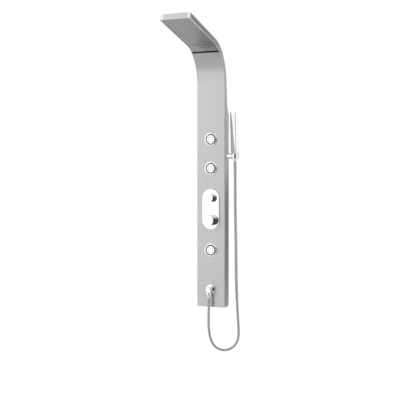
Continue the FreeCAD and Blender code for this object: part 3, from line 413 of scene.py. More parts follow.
ARCH_START = 0.605
ARCH_RADIUS = 0.175
ARCH_TURN = math.radians(80.5)
HOOD_LENGTH = 0.345
HOOD_DEPTH = 0.025
FRONT = -0.062
HALF_WIDTH = 0.075
SHEET = 0.0015
FOLD_RADIUS = 0.0025
BEND_REACH = 0.0004
FACING = 0.45
SIDE_FACING = 0.7
ARCH_CENTRE_Y = FRONT - ARCH_RADIUS
TIP_RUN = ARCH_RADIUS * ARCH_TURN + HOOD_LENGTH
TO_TIP = Vector((0, -math.sin(ARCH_TURN), math.cos(ARCH_TURN)))
TIP_CORNER = 0.018
TIP_CORNER_CUTS = 6
MERGE_REACH = 0.00001
SHARP_BEND = math.radians(28)
WINDOW_REAR_RUN = ARCH_RADIUS * math.radians(56.0)
HEAD_RIM = 0.006
STEEL = (0.50, 0.50, 0.503)
# lighter colour of the rim round the spray plate: a painted highlight
RIM_PAINTED_HIGHLIGHT = (0.80, 0.80, 0.80)
RIM_ROUGHNESS = 0.20
RIM_EDGE = 0.0006
RIM_FADE = 0.02
RIM_SIDE_END = 0.002
RIM_SIDE_FULL = 0.001
RIM_TIP_END = 0.0004
RIM_TIP_FULL = 0.0008
GRAIN_FINENESS = 1400.0
GRAIN_LENGTH = 45.0
GRAIN_ROUGHNESS = 0.16
BROAD_GRAIN_FINENESS = 0.12
FINE_GRAIN_SHARE = 0.4
BROAD_GRAIN_SHARE = 0.6


def run_and_depth(point):
    """How far along the sheet a point lies, and how far it is out from the arch's centre."""
    y = point.y - ARCH_CENTRE_Y
    z = point.z - ARCH_START
    angle = min(max(math.atan2(z, y), 0.0), ARCH_TURN) if z > 0 else 0.0
    along_hood = max(0.0, z * math.cos(ARCH_TURN) - y * math.sin(ARCH_TURN)) if z > 0 else 0.0
    depth = y * math.cos(angle) + z * math.sin(angle)
    return min(z, 0.0) + ARCH_RADIUS * angle + along_hood, depth


def on_sheet(station, depth):
    """Point at the middle of the width, by its run round the arch and its depth behind the front skin,
    with the way out of the front skin there."""
    angle = min(max(station / ARCH_RADIUS, 0.0), ARCH_TURN)
    beyond = max(station - ARCH_RADIUS * ARCH_TURN, 0.0)
    out_y, out_z = math.cos(angle), math.sin(angle)
    y = ARCH_CENTRE_Y + (ARCH_RADIUS + depth) * out_y - beyond * out_z
    z = ARCH_START + (ARCH_RADIUS + depth) * out_z + beyond * out_y
    return Vector((0, y, z)), Vector((0, -out_y, -out_z))


def cut_across(bm, faces, foot, way):
    """Cuts faces along a plane and returns all the faces that they now make."""
    parts = set(faces)
    for face in faces:
        parts.update(face.edges)
        parts.update(face.verts)
    cut = bmesh.ops.bisect_plane(bm, geom=list(parts), plane_co=foot, plane_no=way)
    return [part for part in cut["geom"] if isinstance(part, bmesh.types.BMFace)]


def round_the_tip(bm):
    """Rounds the two front corners of the hood, as seen from above, with all that lies inside them."""
    start = TIP_RUN - TIP_CORNER
    faces = cut_across(bm, bm.faces[:], on_sheet(start, 0)[0], TO_TIP)
    faces = [face for face in faces if run_and_depth(face.calc_center_median())[0] > start]
    for i in range(TIP_CORNER_CUTS):
        share = TIP_CORNER * i / TIP_CORNER_CUTS
        if i:
            faces = cut_across(bm, faces, on_sheet(start + share, 0)[0], TO_TIP)
        for side in (-1, 1):
            foot = Vector((side * (HALF_WIDTH - TIP_CORNER + share), 0, 0))
            faces = cut_across(bm, faces, foot, Vector((1, 0, 0)))
    for vertex in bm.verts:
        along, depth = run_and_depth(vertex.co)
        beyond = along - start
        outside = abs(vertex.co.x) - (HALF_WIDTH - TIP_CORNER)
        if min(beyond, outside) > 0:
            pull = max(beyond, outside) / math.hypot(beyond, outside)
            place = on_sheet(start + beyond * pull, depth - ARCH_RADIUS)[0]
            place.x = math.copysign(HALF_WIDTH - TIP_CORNER + outside * pull, vertex.co.x)
            vertex.co = place


def lay_out_flat(mesh):
    """Map of a folded piece laid out flat, so that the grain follows its bends."""
    flat_map = mesh.uv_layers.new(name="grain")
    for face in mesh.polygons:
        on_side = abs(face.normal.x) > SIDE_FACING
        for corner in face.loop_indices:
            point = mesh.vertices[mesh.loops[corner].vertex_index].co
            along, depth = run_and_depth(point)
            flat_map.data[corner].uv = (depth if on_side else point.x, along)


def true_way_out(point):
    """Way out of the sheet's skin at a point on a fold or on a rounded corner, or nothing elsewhere."""
    along, depth = run_and_depth(point)
    beyond = along - (TIP_RUN - TIP_CORNER)
    outside = abs(point.x) - (HALF_WIDTH - TIP_CORNER)
    ahead = ARCH_RADIUS + FOLD_RADIUS - depth
    if min(beyond, outside) > 0:
        on_corner = abs(math.hypot(beyond, outside) - TIP_CORNER) < BEND_REACH and ahead < BEND_REACH
        return Vector((math.copysign(outside, point.x), 0, 0)) + TO_TIP * beyond if on_corner else None
    aside = max(abs(point.x) - (HALF_WIDTH - FOLD_RADIUS), 0.0)
    on_skin = abs(math.hypot(aside, ahead) - FOLD_RADIUS) < BEND_REACH and ahead > -BEND_REACH
    if not on_skin or beyond > 0:
        return None
    return Vector((math.copysign(aside, point.x), 0, 0)) + on_sheet(along, 0)[1] * ahead


def light_true_bends(mesh):
    """Sets the corner normals of folds and rounded corners from their true curves."""
    ways = [Vector(corner.vector) for corner in mesh.corner_normals]
    for face in mesh.polygons:
        for corner in face.loop_indices:
            way = true_way_out(mesh.vertices[mesh.loops[corner].vertex_index].co)
            if way and way.normalized().dot(face.normal) > FACING:
                ways[corner] = way.normalized()
    mesh.normals_split_custom_set(ways)


def sheet_with_grain(node, name, finish, rear_run=None):
    """A folded piece of the frame with its tip's corners rounded and with a map for the grain."""
    mesh = bpy.data.meshes.new(name)
    bm = bmesh.new()
    bm.from_mesh(nodes_of_frame[node].data)
    bmesh.ops.remove_doubles(bm, verts=bm.verts, dist=MERGE_REACH)
    if rear_run:
        rear, way = on_sheet(rear_run, 0)
        cut = bmesh.ops.bisect_plane(bm, geom=bm.verts[:] + bm.edges[:] + bm.faces[:], plane_co=rear,
                                     plane_no=Vector((0, way.z, -way.y)), clear_inner=True)
        edges = [part for part in cut["geom_cut"] if isinstance(part, bmesh.types.BMEdge)]
        bmesh.ops.holes_fill(bm, edges=edges)
    round_the_tip(bm)
    for face in bm.faces:
        face.smooth = True
    bm.to_mesh(mesh)
    bm.free()
    mesh.set_sharp_from_angle(angle=SHARP_BEND)
    lay_out_flat(mesh)
    mesh.materials.append(finish)
    blank = in_scene(name + "_blank", mesh)
    flat_faces = blank.modifiers.new("flat_faces", "WEIGHTED_NORMAL")
    flat_faces.keep_sharp = True
    flat_faces.weight = 100
    shaded = as_mesh(blank)
    bpy.data.objects.remove(blank)
    light_true_bends(shaded)
    piece = in_scene(name, shaded)
    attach(piece, "column")
    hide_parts(node)


def make_brush_grain():
    """Fine lines left by the brushing belt, long one way and close together the other."""
    group, given, out = new_effect(
        "brush_grain",
        [("Map", "Vector", None), ("Fineness", "Float", 1000.0), ("Length", "Float", 40.0)],
        [("Height", "Float"), ("Shade", "Float")],
    )
    squeeze = put(group, "ShaderNodeCombineXYZ", X=1.0,
                  Y=sum_of(group, "DIVIDE", 1.0, given.outputs["Length"]), Z=1.0)
    drawn = put(group, "ShaderNodeVectorMath", {"operation": "MULTIPLY"}, i0=given.outputs["Map"],
                i1=squeeze.outputs[0])
    fine = put(group, "ShaderNodeTexNoise", Vector=drawn.outputs[0], Scale=given.outputs["Fineness"],
               Detail=2.0)
    broader = sum_of(group, "MULTIPLY", given.outputs["Fineness"], BROAD_GRAIN_FINENESS)
    broad = put(group, "ShaderNodeTexNoise", Vector=drawn.outputs[0], Scale=broader, Detail=3.0,
                Roughness=0.7)
    group.links.new(fine.outputs[0], out.inputs["Height"])
    both = sum_of(group, "ADD", sum_of(group, "MULTIPLY", fine.outputs[0], FINE_GRAIN_SHARE),
                  sum_of(group, "MULTIPLY", broad.outputs[0], BROAD_GRAIN_SHARE))
    group.links.new(both, out.inputs["Shade"])
    return group


brush_grain = make_brush_grain()


def make_brushed_steel(name, colour, roughness):
    finish, tree, shader = new_finish(name, colour, roughness, metallic=1.0)
    flat = put(tree, "ShaderNodeUVMap", {"uv_map": "grain"}).outputs[0]
    grain = use_effect(tree, brush_grain, Map=flat, Fineness=GRAIN_FINENESS, Length=GRAIN_LENGTH)
    marks = use_effect(tree, handling_marks, Place=flat, Size=0.09, Low=roughness - 0.03,
                       High=roughness + 0.03)
    shade = mixed_colour(tree, grain.outputs["Shade"], *shades(colour, darker=0.93, lighter=1.07))
    tree.links.new(shade, shader.inputs["Base Color"])
    lines = sum_of(tree, "SUBTRACT", grain.outputs["Shade"], 0.5)
    rough = sum_of(tree, "ADD", marks.outputs["Roughness"],
                   sum_of(tree, "MULTIPLY", lines, GRAIN_ROUGHNESS))
    tree.links.new(rough, shader.inputs["Roughness"])
    emboss(tree, shader, grain.outputs["Height"], strength=0.10, depth=0.0002)
    return finish


def between(tree, value, start, end):
    """Share from 0 at the start to 1 at the end."""
    return put(tree, "ShaderNodeMapRange", Value=value, From_Min=start, From_Max=end).outputs[0]


def paint_rim_highlight(finish):
    """The narrow rim that the sheet leaves round the spray plate is smoother than the brushed sheet, and
    lighter in colour: a painted highlight.
    """
    tree = finish.node_tree
    shader = tree.nodes["Principled BSDF"]
    laid_out = put(tree, "ShaderNodeUVMap", {"uv_map": "grain"}).outputs[0]
    flat = put(tree, "ShaderNodeSeparateXYZ", Vector=laid_out)
    across = sum_of(tree, "ABSOLUTE", flat.outputs["X"])
    along = flat.outputs["Y"]
    side_edge = HALF_WIDTH - HEAD_RIM
    tip_edge = TIP_RUN - HEAD_RIM
    side_rim = sum_of(tree, "MULTIPLY", between(tree, across, side_edge - RIM_EDGE, side_edge),
                      between(tree, across, HALF_WIDTH + RIM_SIDE_END, HALF_WIDTH + RIM_SIDE_FULL))
    tip_rim = sum_of(tree, "MULTIPLY", between(tree, along, tip_edge - RIM_EDGE, tip_edge),
                     between(tree, along, TIP_RUN - RIM_TIP_END, TIP_RUN - RIM_TIP_FULL))
    round_plate = sum_of(tree, "MAXIMUM", side_rim, tip_rim)
    beside_plate = between(tree, along, WINDOW_REAR_RUN, WINDOW_REAR_RUN + RIM_FADE)
    # share of the rim's painted highlight colour, together with its lower roughness
    bright = sum_of(tree, "MULTIPLY", round_plate, beside_plate)
    brushed = shader.inputs["Base Color"].links[0].from_socket
    tree.links.new(mixed_colour(tree, bright, brushed, RIM_PAINTED_HIGHLIGHT), shader.inputs["Base Color"])
    dull = shader.inputs["Roughness"].links[0].from_socket
    smooth = put(tree, "ShaderNodeMix", {"data_type": "FLOAT"}, Factor=bright, i2=dull, i3=RIM_ROUGHNESS)
    tree.links.new(smooth.outputs[0], shader.inputs["Roughness"])


brushed_steel = make_brushed_steel("brushed_stainless", STEEL, roughness=0.34)
paint_rim_highlight(brushed_steel)
sheet_with_grain("panel_shell", "folded_column_sheet", brushed_steel)
sheet_with_grain("arch_back_cover", "arch_back_sheet", brushed_steel)


# ---- cover screws --------------------------------------------------------------------------
# Ten small zinc-plated pan-head screws with a cross recess hold the back cover to the
# column's in-turned flanges, in pairs round the arch and along the hood.

SCREW_RADIUS = 0.00145
SCREW_HEAD_RADIUS = 0.0032
SCREW_HEAD_HEIGHT = 0.0016
SCREW_LENGTH = 0.0062
SCREW_RECESS_REACH = 0.0018
SCREW_RECESS_ARM = 0.00045
SCREW_RECESS_DEPTH = 0.0010
SCREW_RECESS_TAPER = 0.6
CUTTER_OVERREACH = 0.001
SCREW_SIDES = 24
COVER_SHEET = 0.001
ZINC = (0.50, 0.51, 0.52)
ZINC_DARK = (0.42, 0.43, 0.44)
ZINC_BRIGHT = (0.58, 0.59, 0.60)
FLANGE_WIDTH = 0.010
SCREW_STATIONS = [ARCH_RADIUS * math.radians(turn) for turn in (12, 46)]
SCREW_STATIONS += [ARCH_RADIUS * ARCH_TURN + along for along in (0.020, 0.170, 0.320)]


def lathe(name, shape, sides):
    """Mesh turned about Z from an outline of (radius, height), from one axis point to the other."""
    mesh = bpy.data.meshes.new(name)
    bm = bmesh.new()
    rings = []
    for radius, height in shape:
        if radius == 0:
            rings.append([bm.verts.new((0, 0, height))])
            continue
        turns = [2 * math.pi * i / sides for i in range(sides)]
        places = [(radius * math.cos(turn), radius * math.sin(turn), height) for turn in turns]
        rings.append([bm.verts.new(place) for place in places])
    for low, high in zip(rings, rings[1:]):
        for i in range(sides):
            j = (i + 1) % sides
            corners = [low[i % len(low)], low[j % len(low)], high[j % len(high)], high[i % len(high)]]
            bm.faces.new(list(dict.fromkeys(corners)))
    bmesh.ops.recalc_face_normals(bm, faces=bm.faces)
    for face in bm.faces:
        face.smooth = True
    bm.to_mesh(mesh)
    bm.free()
    return mesh


def cross_cutter():
    """Upright plus-shaped prism, tapered to its foot, that cuts a screw's recess."""
    reach, arm = SCREW_RECESS_REACH, SCREW_RECESS_ARM
    quarter = [(reach, -arm), (reach, arm), (arm, arm)]
    outline = []
    for i in range(4):
        turn = Matrix.Rotation(i * math.pi / 2, 2)
        outline += [turn @ Vector(corner) for corner in quarter]
    top_level = SCREW_HEAD_HEIGHT + CUTTER_OVERREACH
    foot_level = SCREW_HEAD_HEIGHT - SCREW_RECESS_DEPTH
    mesh = bpy.data.meshes.new("cross_cutter")
    bm = bmesh.new()
    top = [bm.verts.new((p.x, p.y, top_level)) for p in outline]
    foot = [bm.verts.new((p.x * SCREW_RECESS_TAPER, p.y * SCREW_RECESS_TAPER, foot_level)) for p in outline]
    bm.faces.new(top)
    bm.faces.new(list(reversed(foot)))
    for i in range(len(outline)):
        j = (i + 1) % len(outline)
        bm.faces.new([top[i], foot[i], foot[j], top[j]])
    bmesh.ops.recalc_face_normals(bm, faces=bm.faces)
    bm.to_mesh(mesh)
    bm.free()
    return mesh


def cross_head_screw():
    shaft, head, height = SCREW_RADIUS, SCREW_HEAD_RADIUS, SCREW_HEAD_HEIGHT
    shape = [(0, -SCREW_LENGTH), (shaft * 0.4, -SCREW_LENGTH), (shaft, 0.001 - SCREW_LENGTH), (shaft, 0.0),
             (head, 0.0), (head, height * 0.35), (head * 0.93, height * 0.65), (head * 0.72, height * 0.92),
             (head * 0.4, height), (0, height)]
    blank = in_scene("screw_blank", lathe("screw_blank", shape, SCREW_SIDES))
    cutter = in_scene("screw_cutter", cross_cutter())
    recess = blank.modifiers.new("recess", "BOOLEAN")
    recess.object = cutter
    recess.solver = "EXACT"
    mesh = as_mesh(blank)
    bpy.data.objects.remove(blank)
    bpy.data.objects.remove(cutter)
    return mesh


def make_setting_out_tree():
    """Stands one shape on every given point, with its top along the point's way, a little unevenly."""
    tree, given, out = new_tree("setting_out", [
        ("Shape", "Object", None), ("Lean", "Float", 0.0), ("Seed", "Int", 7),
        ("Material", "Material", None),
    ])
    shape = put(tree, "GeometryNodeObjectInfo", Object=given.outputs["Shape"])
    way = put(tree, "GeometryNodeInputNamedAttribute", {"data_type": "FLOAT_VECTOR"}, Name="way")
    spare = put(tree, "FunctionNodeRandomValue", {"data_type": "FLOAT_VECTOR"}, Seed=given.outputs["Seed"])
    spare.inputs[0].default_value = (-1, -1, -1)
    spare.inputs[1].default_value = (1, 1, 1)
    tilt = put(tree, "ShaderNodeVectorMath", {"operation": "SCALE"}, i0=spare.outputs[0],
               Scale=given.outputs["Lean"])
    leaning = put(tree, "ShaderNodeVectorMath", {"operation": "ADD"}, i0=way.outputs[0], i1=tilt.outputs[0])
    turn = put(tree, "FunctionNodeAlignRotationToVector", {"axis": "Z"}, Vector=leaning.outputs[0])
    standing = put(tree, "GeometryNodeInstanceOnPoints", Points=given.outputs["Geometry"],
                   Instance=shape.outputs["Geometry"], Rotation=turn.outputs[0])
    hand_out(tree, given, out, standing.outputs[0])
    return tree


setting_out = make_setting_out_tree()


def set_out(name, shape, spots, finish, lean=0.0):
    """One piece made of a shape stood on each spot, given as (foot, way)."""
    points = bpy.data.meshes.new(name + "_spots")
    points.from_pydata([tuple(foot) for foot, way in spots], [], [])
    ways = points.attributes.new("way", "FLOAT_VECTOR", "POINT")
    for spot, (foot, way) in zip(ways.data, spots):
        spot.vector = way
    pattern = in_scene(name + "_shape", shape)
    piece = grown(name, points, setting_out, {"Shape": pattern, "Lean": lean, "Material": finish})
    bpy.data.objects.remove(pattern)
    return piece


def make_zinc():
    """Zinc plate: grey, with the faint blue cast and fine flowers of the bath."""
    finish, tree, shader = new_finish("zinc_plate", ZINC, roughness=0.4, metallic=1.0)
    place = put(tree, "ShaderNodeTexCoord").outputs["Object"]
    flowers = put(tree, "ShaderNodeTexVoronoi", Vector=place, Scale=130.0)
    tint = mixed_colour(tree, flowers.outputs["Color"], ZINC_DARK, ZINC_BRIGHT)
    tree.links.new(tint, shader.inputs["Base Color"])
    smear(tree, shader, place, size=0.02, low=0.30, high=0.50)
    return finish


def screw_spots():
    spots = []
    for station in SCREW_STATIONS:
        foot, out_of_front = on_sheet(station, HOOD_DEPTH + COVER_SHEET)
        for side in (-1, 1):
            x = side * (HALF_WIDTH - SHEET - FLANGE_WIDTH / 2)
            spots.append((foot + Vector((x, 0, 0)), -out_of_front))
    return spots


zinc_plate = make_zinc()
cover_screws = set_out("cross_head_screws", cross_head_screw(), screw_spots(), zinc_plate)
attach(cover_screws, "column")
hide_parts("cover_screws")


# ---- rain head -----------------------------------------------------------------------------
# A perforated steel plate closes the underside of the hood.  Behind it lies one silicone mat
# whose soft nozzles poke through the holes in square rows, clamped under a black water tank.

NOZZLE_TIP_IN = 0.020
ROW_STEP = 0.019
ROWS = 21
NOZZLE_PITCH = 0.0152
NOZZLES_ACROSS = 9
PLATE_SHEET = 0.0015
MAT_SHEET = 0.0012
MAT_FRONT = SHEET + PLATE_SHEET
MAT_HALF_WIDTH = 0.0715
MAT_REAR = ARCH_RADIUS * (math.radians(60) - 0.02)
MAT_TIP = TIP_RUN - 0.005
MAT_STEPS = 48
NOZZLE_SHAPE = [(0.0, -0.0004), (0.00225, -0.0004), (0.00225, 0.0006), (0.0019, 0.0011), (0.00135, 0.0034),
                (0.00115, 0.0039), (0.0008, 0.0040), (0.0005, 0.0037), (0.0005, 0.0022), (0.0, 0.0022)]
NOZZLE_SIDES = 12
PLATE_STEEL = (0.46, 0.46, 0.463)
PLATE_REAR_RUN = ARCH_RADIUS * math.radians(57.4) + 0.0058


def nozzle_spots():
    """Square rows over the plate, counted back from the hood's tip and round the arch."""
    spots = []
    last = TIP_RUN - NOZZLE_TIP_IN
    for row in range(ROWS):
        foot, way = on_sheet(last - row * ROW_STEP, MAT_FRONT)
        for column in range(NOZZLES_ACROSS):
            x = (column - (NOZZLES_ACROSS - 1) / 2) * NOZZLE_PITCH
            spots.append((foot + Vector((x, 0, 0)), way))
    return spots


def rolled_strip(name, rear, tip, half_width, near, far, steps):
    """Flat strip that follows the arch and the hood, between two depths behind the front skin."""
    mesh = bpy.data.meshes.new(name)
    bm = bmesh.new()
    rings = []
    for i in range(steps + 1):
        station = rear + (tip - rear) * i / steps
        ring = []
        for side, depth in ((-1, near), (1, near), (1, far), (-1, far)):
            point, way = on_sheet(station, depth)
            ring.append(bm.verts.new((side * half_width, point.y, point.z)))
        rings.append(ring)
    for low, high in zip(rings, rings[1:]):
        for i in range(4):
            j = (i + 1) % 4
            bm.faces.new([low[i], low[j], high[j], high[i]])
    bm.faces.new(rings[0])
    bm.faces.new(rings[-1])
    bmesh.ops.recalc_face_normals(bm, faces=bm.faces)
    round_the_tip(bm)
    bm.to_mesh(mesh)
    bm.free()
    return in_scene(name, mesh)


def make_silicone(name, colour):
    """Soft moulded silicone: matt, a little waxy, dusted with dried lime."""
    finish, tree, shader = new_finish(name, colour, roughness=0.55)
    place = put(tree, "ShaderNodeTexCoord").outputs["Object"]
    clouds = smear(tree, shader, place, size=0.006, low=0.48, high=0.66)
    tint = mixed_colour(tree, clouds, *shades(colour, darker=0.88, lighter=1.14))
    tree.links.new(tint, shader.inputs["Base Color"])
    pores = put(tree, "ShaderNodeTexNoise", Vector=place, Scale=2200.0, Detail=2.0)
    emboss(tree, shader, pores.outputs[0], strength=0.12, depth=0.0002)
    shader.inputs["Subsurface Weight"].default_value = 0.06
    shader.inputs["Subsurface Radius"].default_value = (0.002, 0.002, 0.002)
    return finish


def make_moulded(name, colour, roughness):
    """Moulded plastic or rubber with a fine spark grain and faint clouds of flow."""
    finish, tree, shader = new_finish(name, colour, roughness)
    place = put(tree, "ShaderNodeTexCoord").outputs["Object"]
    clouds = smear(tree, shader, place, size=0.015, low=roughness - 0.06, high=roughness + 0.08)
    tint = mixed_colour(tree, clouds, *shades(colour, darker=0.86, lighter=1.10))
    tree.links.new(tint, shader.inputs["Base Color"])
    spark = put(tree, "ShaderNodeTexNoise", Vector=place, Scale=1500.0, Detail=2.0)
    emboss(tree, shader, spark.outputs[0], strength=0.15, depth=0.0002)
    return finish


def dress(names, finish):
    """Gives nodes of the frame their finish, in place of the plain one that they came with."""
    for name in names:
        node = nodes_of_frame[name]
        node.data.materials.clear()
        node.data.materials.append(finish)


dark_silicone = make_silicone("dark_grey_silicone", (0.035, 0.035, 0.037))
plate_steel = make_brushed_steel("plate_stainless", PLATE_STEEL, roughness=0.36)
sheet_with_grain("nozzle_plate", "perforated_spray_plate", plate_steel, PLATE_REAR_RUN)
silicone_mat = rolled_strip("rain_silicone_mat", MAT_REAR, MAT_TIP, MAT_HALF_WIDTH, MAT_FRONT,
                            MAT_FRONT + MAT_SHEET, MAT_STEPS)
silicone_mat.data.materials.append(dark_silicone)
nozzle_mesh = lathe("rain_nozzle", NOZZLE_SHAPE, NOZZLE_SIDES)
rain_nozzles = set_out("rain_nozzles", nozzle_mesh, nozzle_spots(), dark_silicone, lean=0.05)
for piece in (silicone_mat, rain_nozzles):
    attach(piece, "column")
    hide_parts("nozzle_mat")
black_nylon = make_moulded("black_nylon", (0.035, 0.035, 0.038), roughness=0.42)
sheet_with_grain("rain_chamber", "black_rain_tank", black_nylon)
dress(["chamber_nuts"], zinc_plate)


# ---- body jets -----------------------------------------------------------------------------
# Three round jets: a chrome bezel, and in it a ball whose chromed spray face tilts any way.
# Eight small silicone tips show in two rings; nut, seat and housing behind are black nylon.

JET_HEIGHTS = {"upper": 0.325, "middle": 0.178, "lower": -0.239}
JET_FACE_Y = FRONT - 0.004
JET_FACE_WALL = 0.003
JET_TIP_RINGS = (0.010, 0.016)
JET_TIPS = 8
JET_TIP_SHAPE = [(0.0, -0.0005), (0.0017, -0.0005), (0.0017, 0.0029), (0.0023, 0.0030), (0.0023, 0.0033),
                 (0.0016, 0.0036), (0.00125, 0.0041), (0.0007, 0.0042), (0.00045, 0.0039), (0.00045, 0.0028),
                 (0.0, 0.0028)]
JET_TIP_SIDES = 12
JET_MAT_SIDES = 32
JET_MAT_SHAPE = [(0.004, 0.0), (0.0205, 0.0), (0.0205, -0.0015), (0.004, -0.0015), (0.004, 0.0)]
CHROME = (0.80, 0.80, 0.805)
CHROME_EDGE_IN = 0.0003
CHROME_EDGE_FADE = 0.0001
# near-black colour behind the jet face's edge: painted shade for the gap between ball and bezel
JET_GAP_SHADE = (0.02, 0.02, 0.021)
JET_GAP_SHADE_DULLER = 0.4
TO_FRONT = Vector((0, -1, 0))


def chrome_nodes(tree, shader):
    """Bright plate, buffed until only faint smears and the slightest ripple are left."""
    place = put(tree, "ShaderNodeTexCoord").outputs["Object"]
    marks = use_effect(tree, handling_marks, Place=place, Size=0.02, Low=0.05, High=0.12)
    tint = mixed_colour(tree, marks.outputs["Clouds"], *shades(CHROME, darker=0.96, lighter=1.04))
    ripple = put(tree, "ShaderNodeTexNoise", Vector=place, Scale=90.0, Detail=1.0)
    emboss(tree, shader, ripple.outputs[0], strength=0.03, depth=0.0006)
    return place, marks.outputs["Roughness"], tint


def make_chrome():
    finish, tree, shader = new_finish("bright_chrome", CHROME, roughness=0.08, metallic=1.0)
    place, roughness, tint = chrome_nodes(tree, shader)
    tree.links.new(roughness, shader.inputs["Roughness"])
    tree.links.new(tint, shader.inputs["Base Color"])
    return finish


def make_jet_face_and_gap_shade():
    """The ball's spray face is chrome; behind the face's edge it is painted near-black and duller: painted
    shade for the dark gap between the ball and its bezel.
    """
    finish, tree, shader = new_finish("jet_face_and_gap_shade", CHROME, roughness=0.08, metallic=1.0)
    place, roughness, tint = chrome_nodes(tree, shader)
    depth = put(tree, "ShaderNodeSeparateXYZ", Vector=place).outputs["Y"]
    # 1 on the chrome face, 0 behind its edge where the painted gap shade goes
    plated = put(tree, "ShaderNodeMapRange", Value=depth, From_Min=JET_FACE_Y + CHROME_EDGE_IN,
                 From_Max=JET_FACE_Y + CHROME_EDGE_IN + CHROME_EDGE_FADE, To_Min=1.0, To_Max=0.0)
    colour = mixed_colour(tree, plated.outputs[0], JET_GAP_SHADE, tint)
    tree.links.new(colour, shader.inputs["Base Color"])
    tree.links.new(plated.outputs[0], shader.inputs["Metallic"])
    dull = sum_of(tree, "MULTIPLY", sum_of(tree, "SUBTRACT", 1.0, plated.outputs[0]), JET_GAP_SHADE_DULLER)
    tree.links.new(sum_of(tree, "ADD", roughness, dull), shader.inputs["Roughness"])
    return finish


def jet_tip_spots(height):
    spots = []
    for i in range(JET_TIPS):
        angle = 2 * math.pi * i / JET_TIPS
        reach = JET_TIP_RINGS[i % 2]
        foot = Vector((reach * math.cos(angle), JET_FACE_Y + JET_FACE_WALL, height + reach * math.sin(angle)))
        spots.append((foot, TO_FRONT))
    return spots


chrome = make_chrome()
jet_face = make_jet_face_and_gap_shade()
grey_silicone = make_silicone("grey_silicone", (0.055, 0.055, 0.058))
black_rubber = make_moulded("black_rubber", (0.022, 0.022, 0.022), roughness=0.62)
for place, height in JET_HEIGHTS.items():
    tip = lathe("jet_tip", JET_TIP_SHAPE, JET_TIP_SIDES)
    tips = set_out(place + "_jet_tips", tip, jet_tip_spots(height), grey_silicone)
    mat_spot = [(Vector((0, JET_FACE_Y + JET_FACE_WALL, height)), TO_FRONT)]
    mat = set_out(place + "_jet_mat", lathe("jet_mat", JET_MAT_SHAPE, JET_MAT_SIDES), mat_spot, grey_silicone)
    for piece in (tips, mat):
        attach(piece, place + "_jet_ball")
        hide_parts("jet_nozzles_" + place)
    dress(["jet_bezel_" + place], chrome)
    dress(["jet_ball_" + place], jet_face)
    dress(["jet_housing_" + place, "jet_seat_ring_" + place], black_nylon)
dress(["jet_lock_nuts"], black_nylon)
dress(["jet_gaskets"], black_rubber)


# ---- mixer and diverter --------------------------------------------------------------------
# Both controls come through one oblong chromed plate.  Each has a chromed collar and a knob
# held by a grub screw; the valve behind is one brass casting with white acetal cartridges.

BRASS = (0.56, 0.40, 0.17)
BRASS_DARK = (0.40, 0.26, 0.11)
BRASS_BRIGHT = (0.70, 0.53, 0.25)
CONTROLS = ("mixer", "diverter")


def make_brass():
    """Sand-cast brass: grainy, uneven in colour, duller where the skin was left as cast."""
    finish, tree, shader = new_finish("cast_brass", BRASS, roughness=0.38, metallic=1.0)
    place = put(tree, "ShaderNodeTexCoord").outputs["Object"]
    clouds = smear(tree, shader, place, size=0.012, low=0.28, high=0.52)
    tint = mixed_colour(tree, clouds, BRASS_DARK, BRASS_BRIGHT)
    tree.links.new(tint, shader.inputs["Base Color"])
    sand = put(tree, "ShaderNodeTexNoise", Vector=place, Scale=700.0, Detail=3.0)
    emboss(tree, shader, sand.outputs[0], strength=0.25, depth=0.0005)
    return finish


brass = make_brass()
white_acetal = make_moulded("white_acetal", (0.78, 0.78, 0.76), roughness=0.38)
dress(["control_plate"] + [control + part for control in CONTROLS for part in ("_collar", "_knob")],
      chrome)
dress(["plate_gasket"], black_rubber)
dress(["valve_body"] + [control + "_spindle" for control in CONTROLS], brass)
dress([control + "_cartridge" for control in CONTROLS], white_acetal)
dress([control + "_grub_screw" for control in CONTROLS], zinc_plate)


# ---- outlet --------------------------------------------------------------------------------
# A chromed brass elbow stands out of a domed flange low on the panel and turns down to the
# hose; a plain brass nut and tail hold it from behind.

dress(["outlet_flange", "outlet_elbow", "hose_nut", "hose_sleeve"], chrome)
dress(["outlet_lock_nut", "outlet_tail"], brass)


# ---- hand shower ---------------------------------------------------------------------------
# A flat chromed stick with a spray plate let into its upper face, three nozzles to the row,
# and the hose's cone nut and crimped sleeve at its foot.

dress(["handset_body", "handset_face", "handset_cone_nut", "handset_sleeve"], chrome)
dress(["handset_nozzles"], make_silicone("pale_silicone", (0.20, 0.20, 0.205)))


# ---- hand shower holder --------------------------------------------------------------------
# A chromed arm is bolted through the column's right side and ends in a tapered socket, which
# is lined with a split acetal sleeve so that the cone nut isn't scratched.

dress(["holder_arm"], chrome)
dress(["holder_liner"], white_acetal)
dress(["holder_bolt"], zinc_plate)


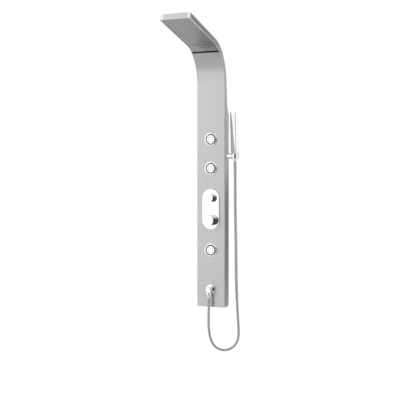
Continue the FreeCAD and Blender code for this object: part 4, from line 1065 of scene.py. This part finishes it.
# ---- wall fixing ---------------------------------------------------------------------------
# Two pressed brackets are screwed to the wall and two hangers inside the column hook over
# them; all four are zinc-plated steel.

dress(["wall_bracket_upper", "wall_bracket_lower", "hanger_upper", "hanger_lower"], zinc_plate)


# ---- hoses inside the column ---------------------------------------------------------------
# Flexible hoses under a stainless braid run from the valve to the head, jets and outlet, with
# brass union nuts at their ends.

BRAID_STEEL = (0.62, 0.62, 0.63)
BRAID_SHADE = (0.16, 0.16, 0.165)
BRAID_PITCH = 0.0042


def make_woven_wire():
    """Two sets of wires that cross on the slant, each passing over and under the other."""
    group, given, out = new_effect(
        "woven_wire", [("Place", "Vector", None), ("Pitch", "Float", 0.004)], [("Height", "Float")],
    )
    way = put(group, "ShaderNodeSeparateXYZ", Vector=given.outputs["Place"])
    turns = sum_of(group, "DIVIDE", 2 * math.pi, given.outputs["Pitch"])
    along = sum_of(group, "MULTIPLY", way.outputs["Z"], turns)
    round_it = sum_of(group, "MULTIPLY", sum_of(group, "ADD", way.outputs["X"], way.outputs["Y"]), turns)
    right = sum_of(group, "SINE", sum_of(group, "ADD", along, round_it))
    left = sum_of(group, "SINE", sum_of(group, "SUBTRACT", along, round_it))
    group.links.new(sum_of(group, "MAXIMUM", right, left), out.inputs["Height"])
    return group


def make_braid():
    finish, tree, shader = new_finish("stainless_braid", BRAID_STEEL, roughness=0.34, metallic=1.0)
    place = put(tree, "ShaderNodeTexCoord").outputs["Object"]
    wires = use_effect(tree, make_woven_wire(), Place=place, Pitch=BRAID_PITCH)
    smear(tree, shader, place, size=0.01, low=0.28, high=0.42)
    lit = put(tree, "ShaderNodeMapRange", Value=wires.outputs["Height"], From_Min=-0.6, From_Max=0.9)
    shade = mixed_colour(tree, lit.outputs[0], BRAID_SHADE, BRAID_STEEL)
    tree.links.new(shade, shader.inputs["Base Color"])
    emboss(tree, shader, wires.outputs["Height"], strength=0.8, depth=0.0004)
    return finish


dress(["head_feed_hose", "jet_feed_hoses", "hand_feed_hose"], make_braid())
dress(["union_nuts"], brass)
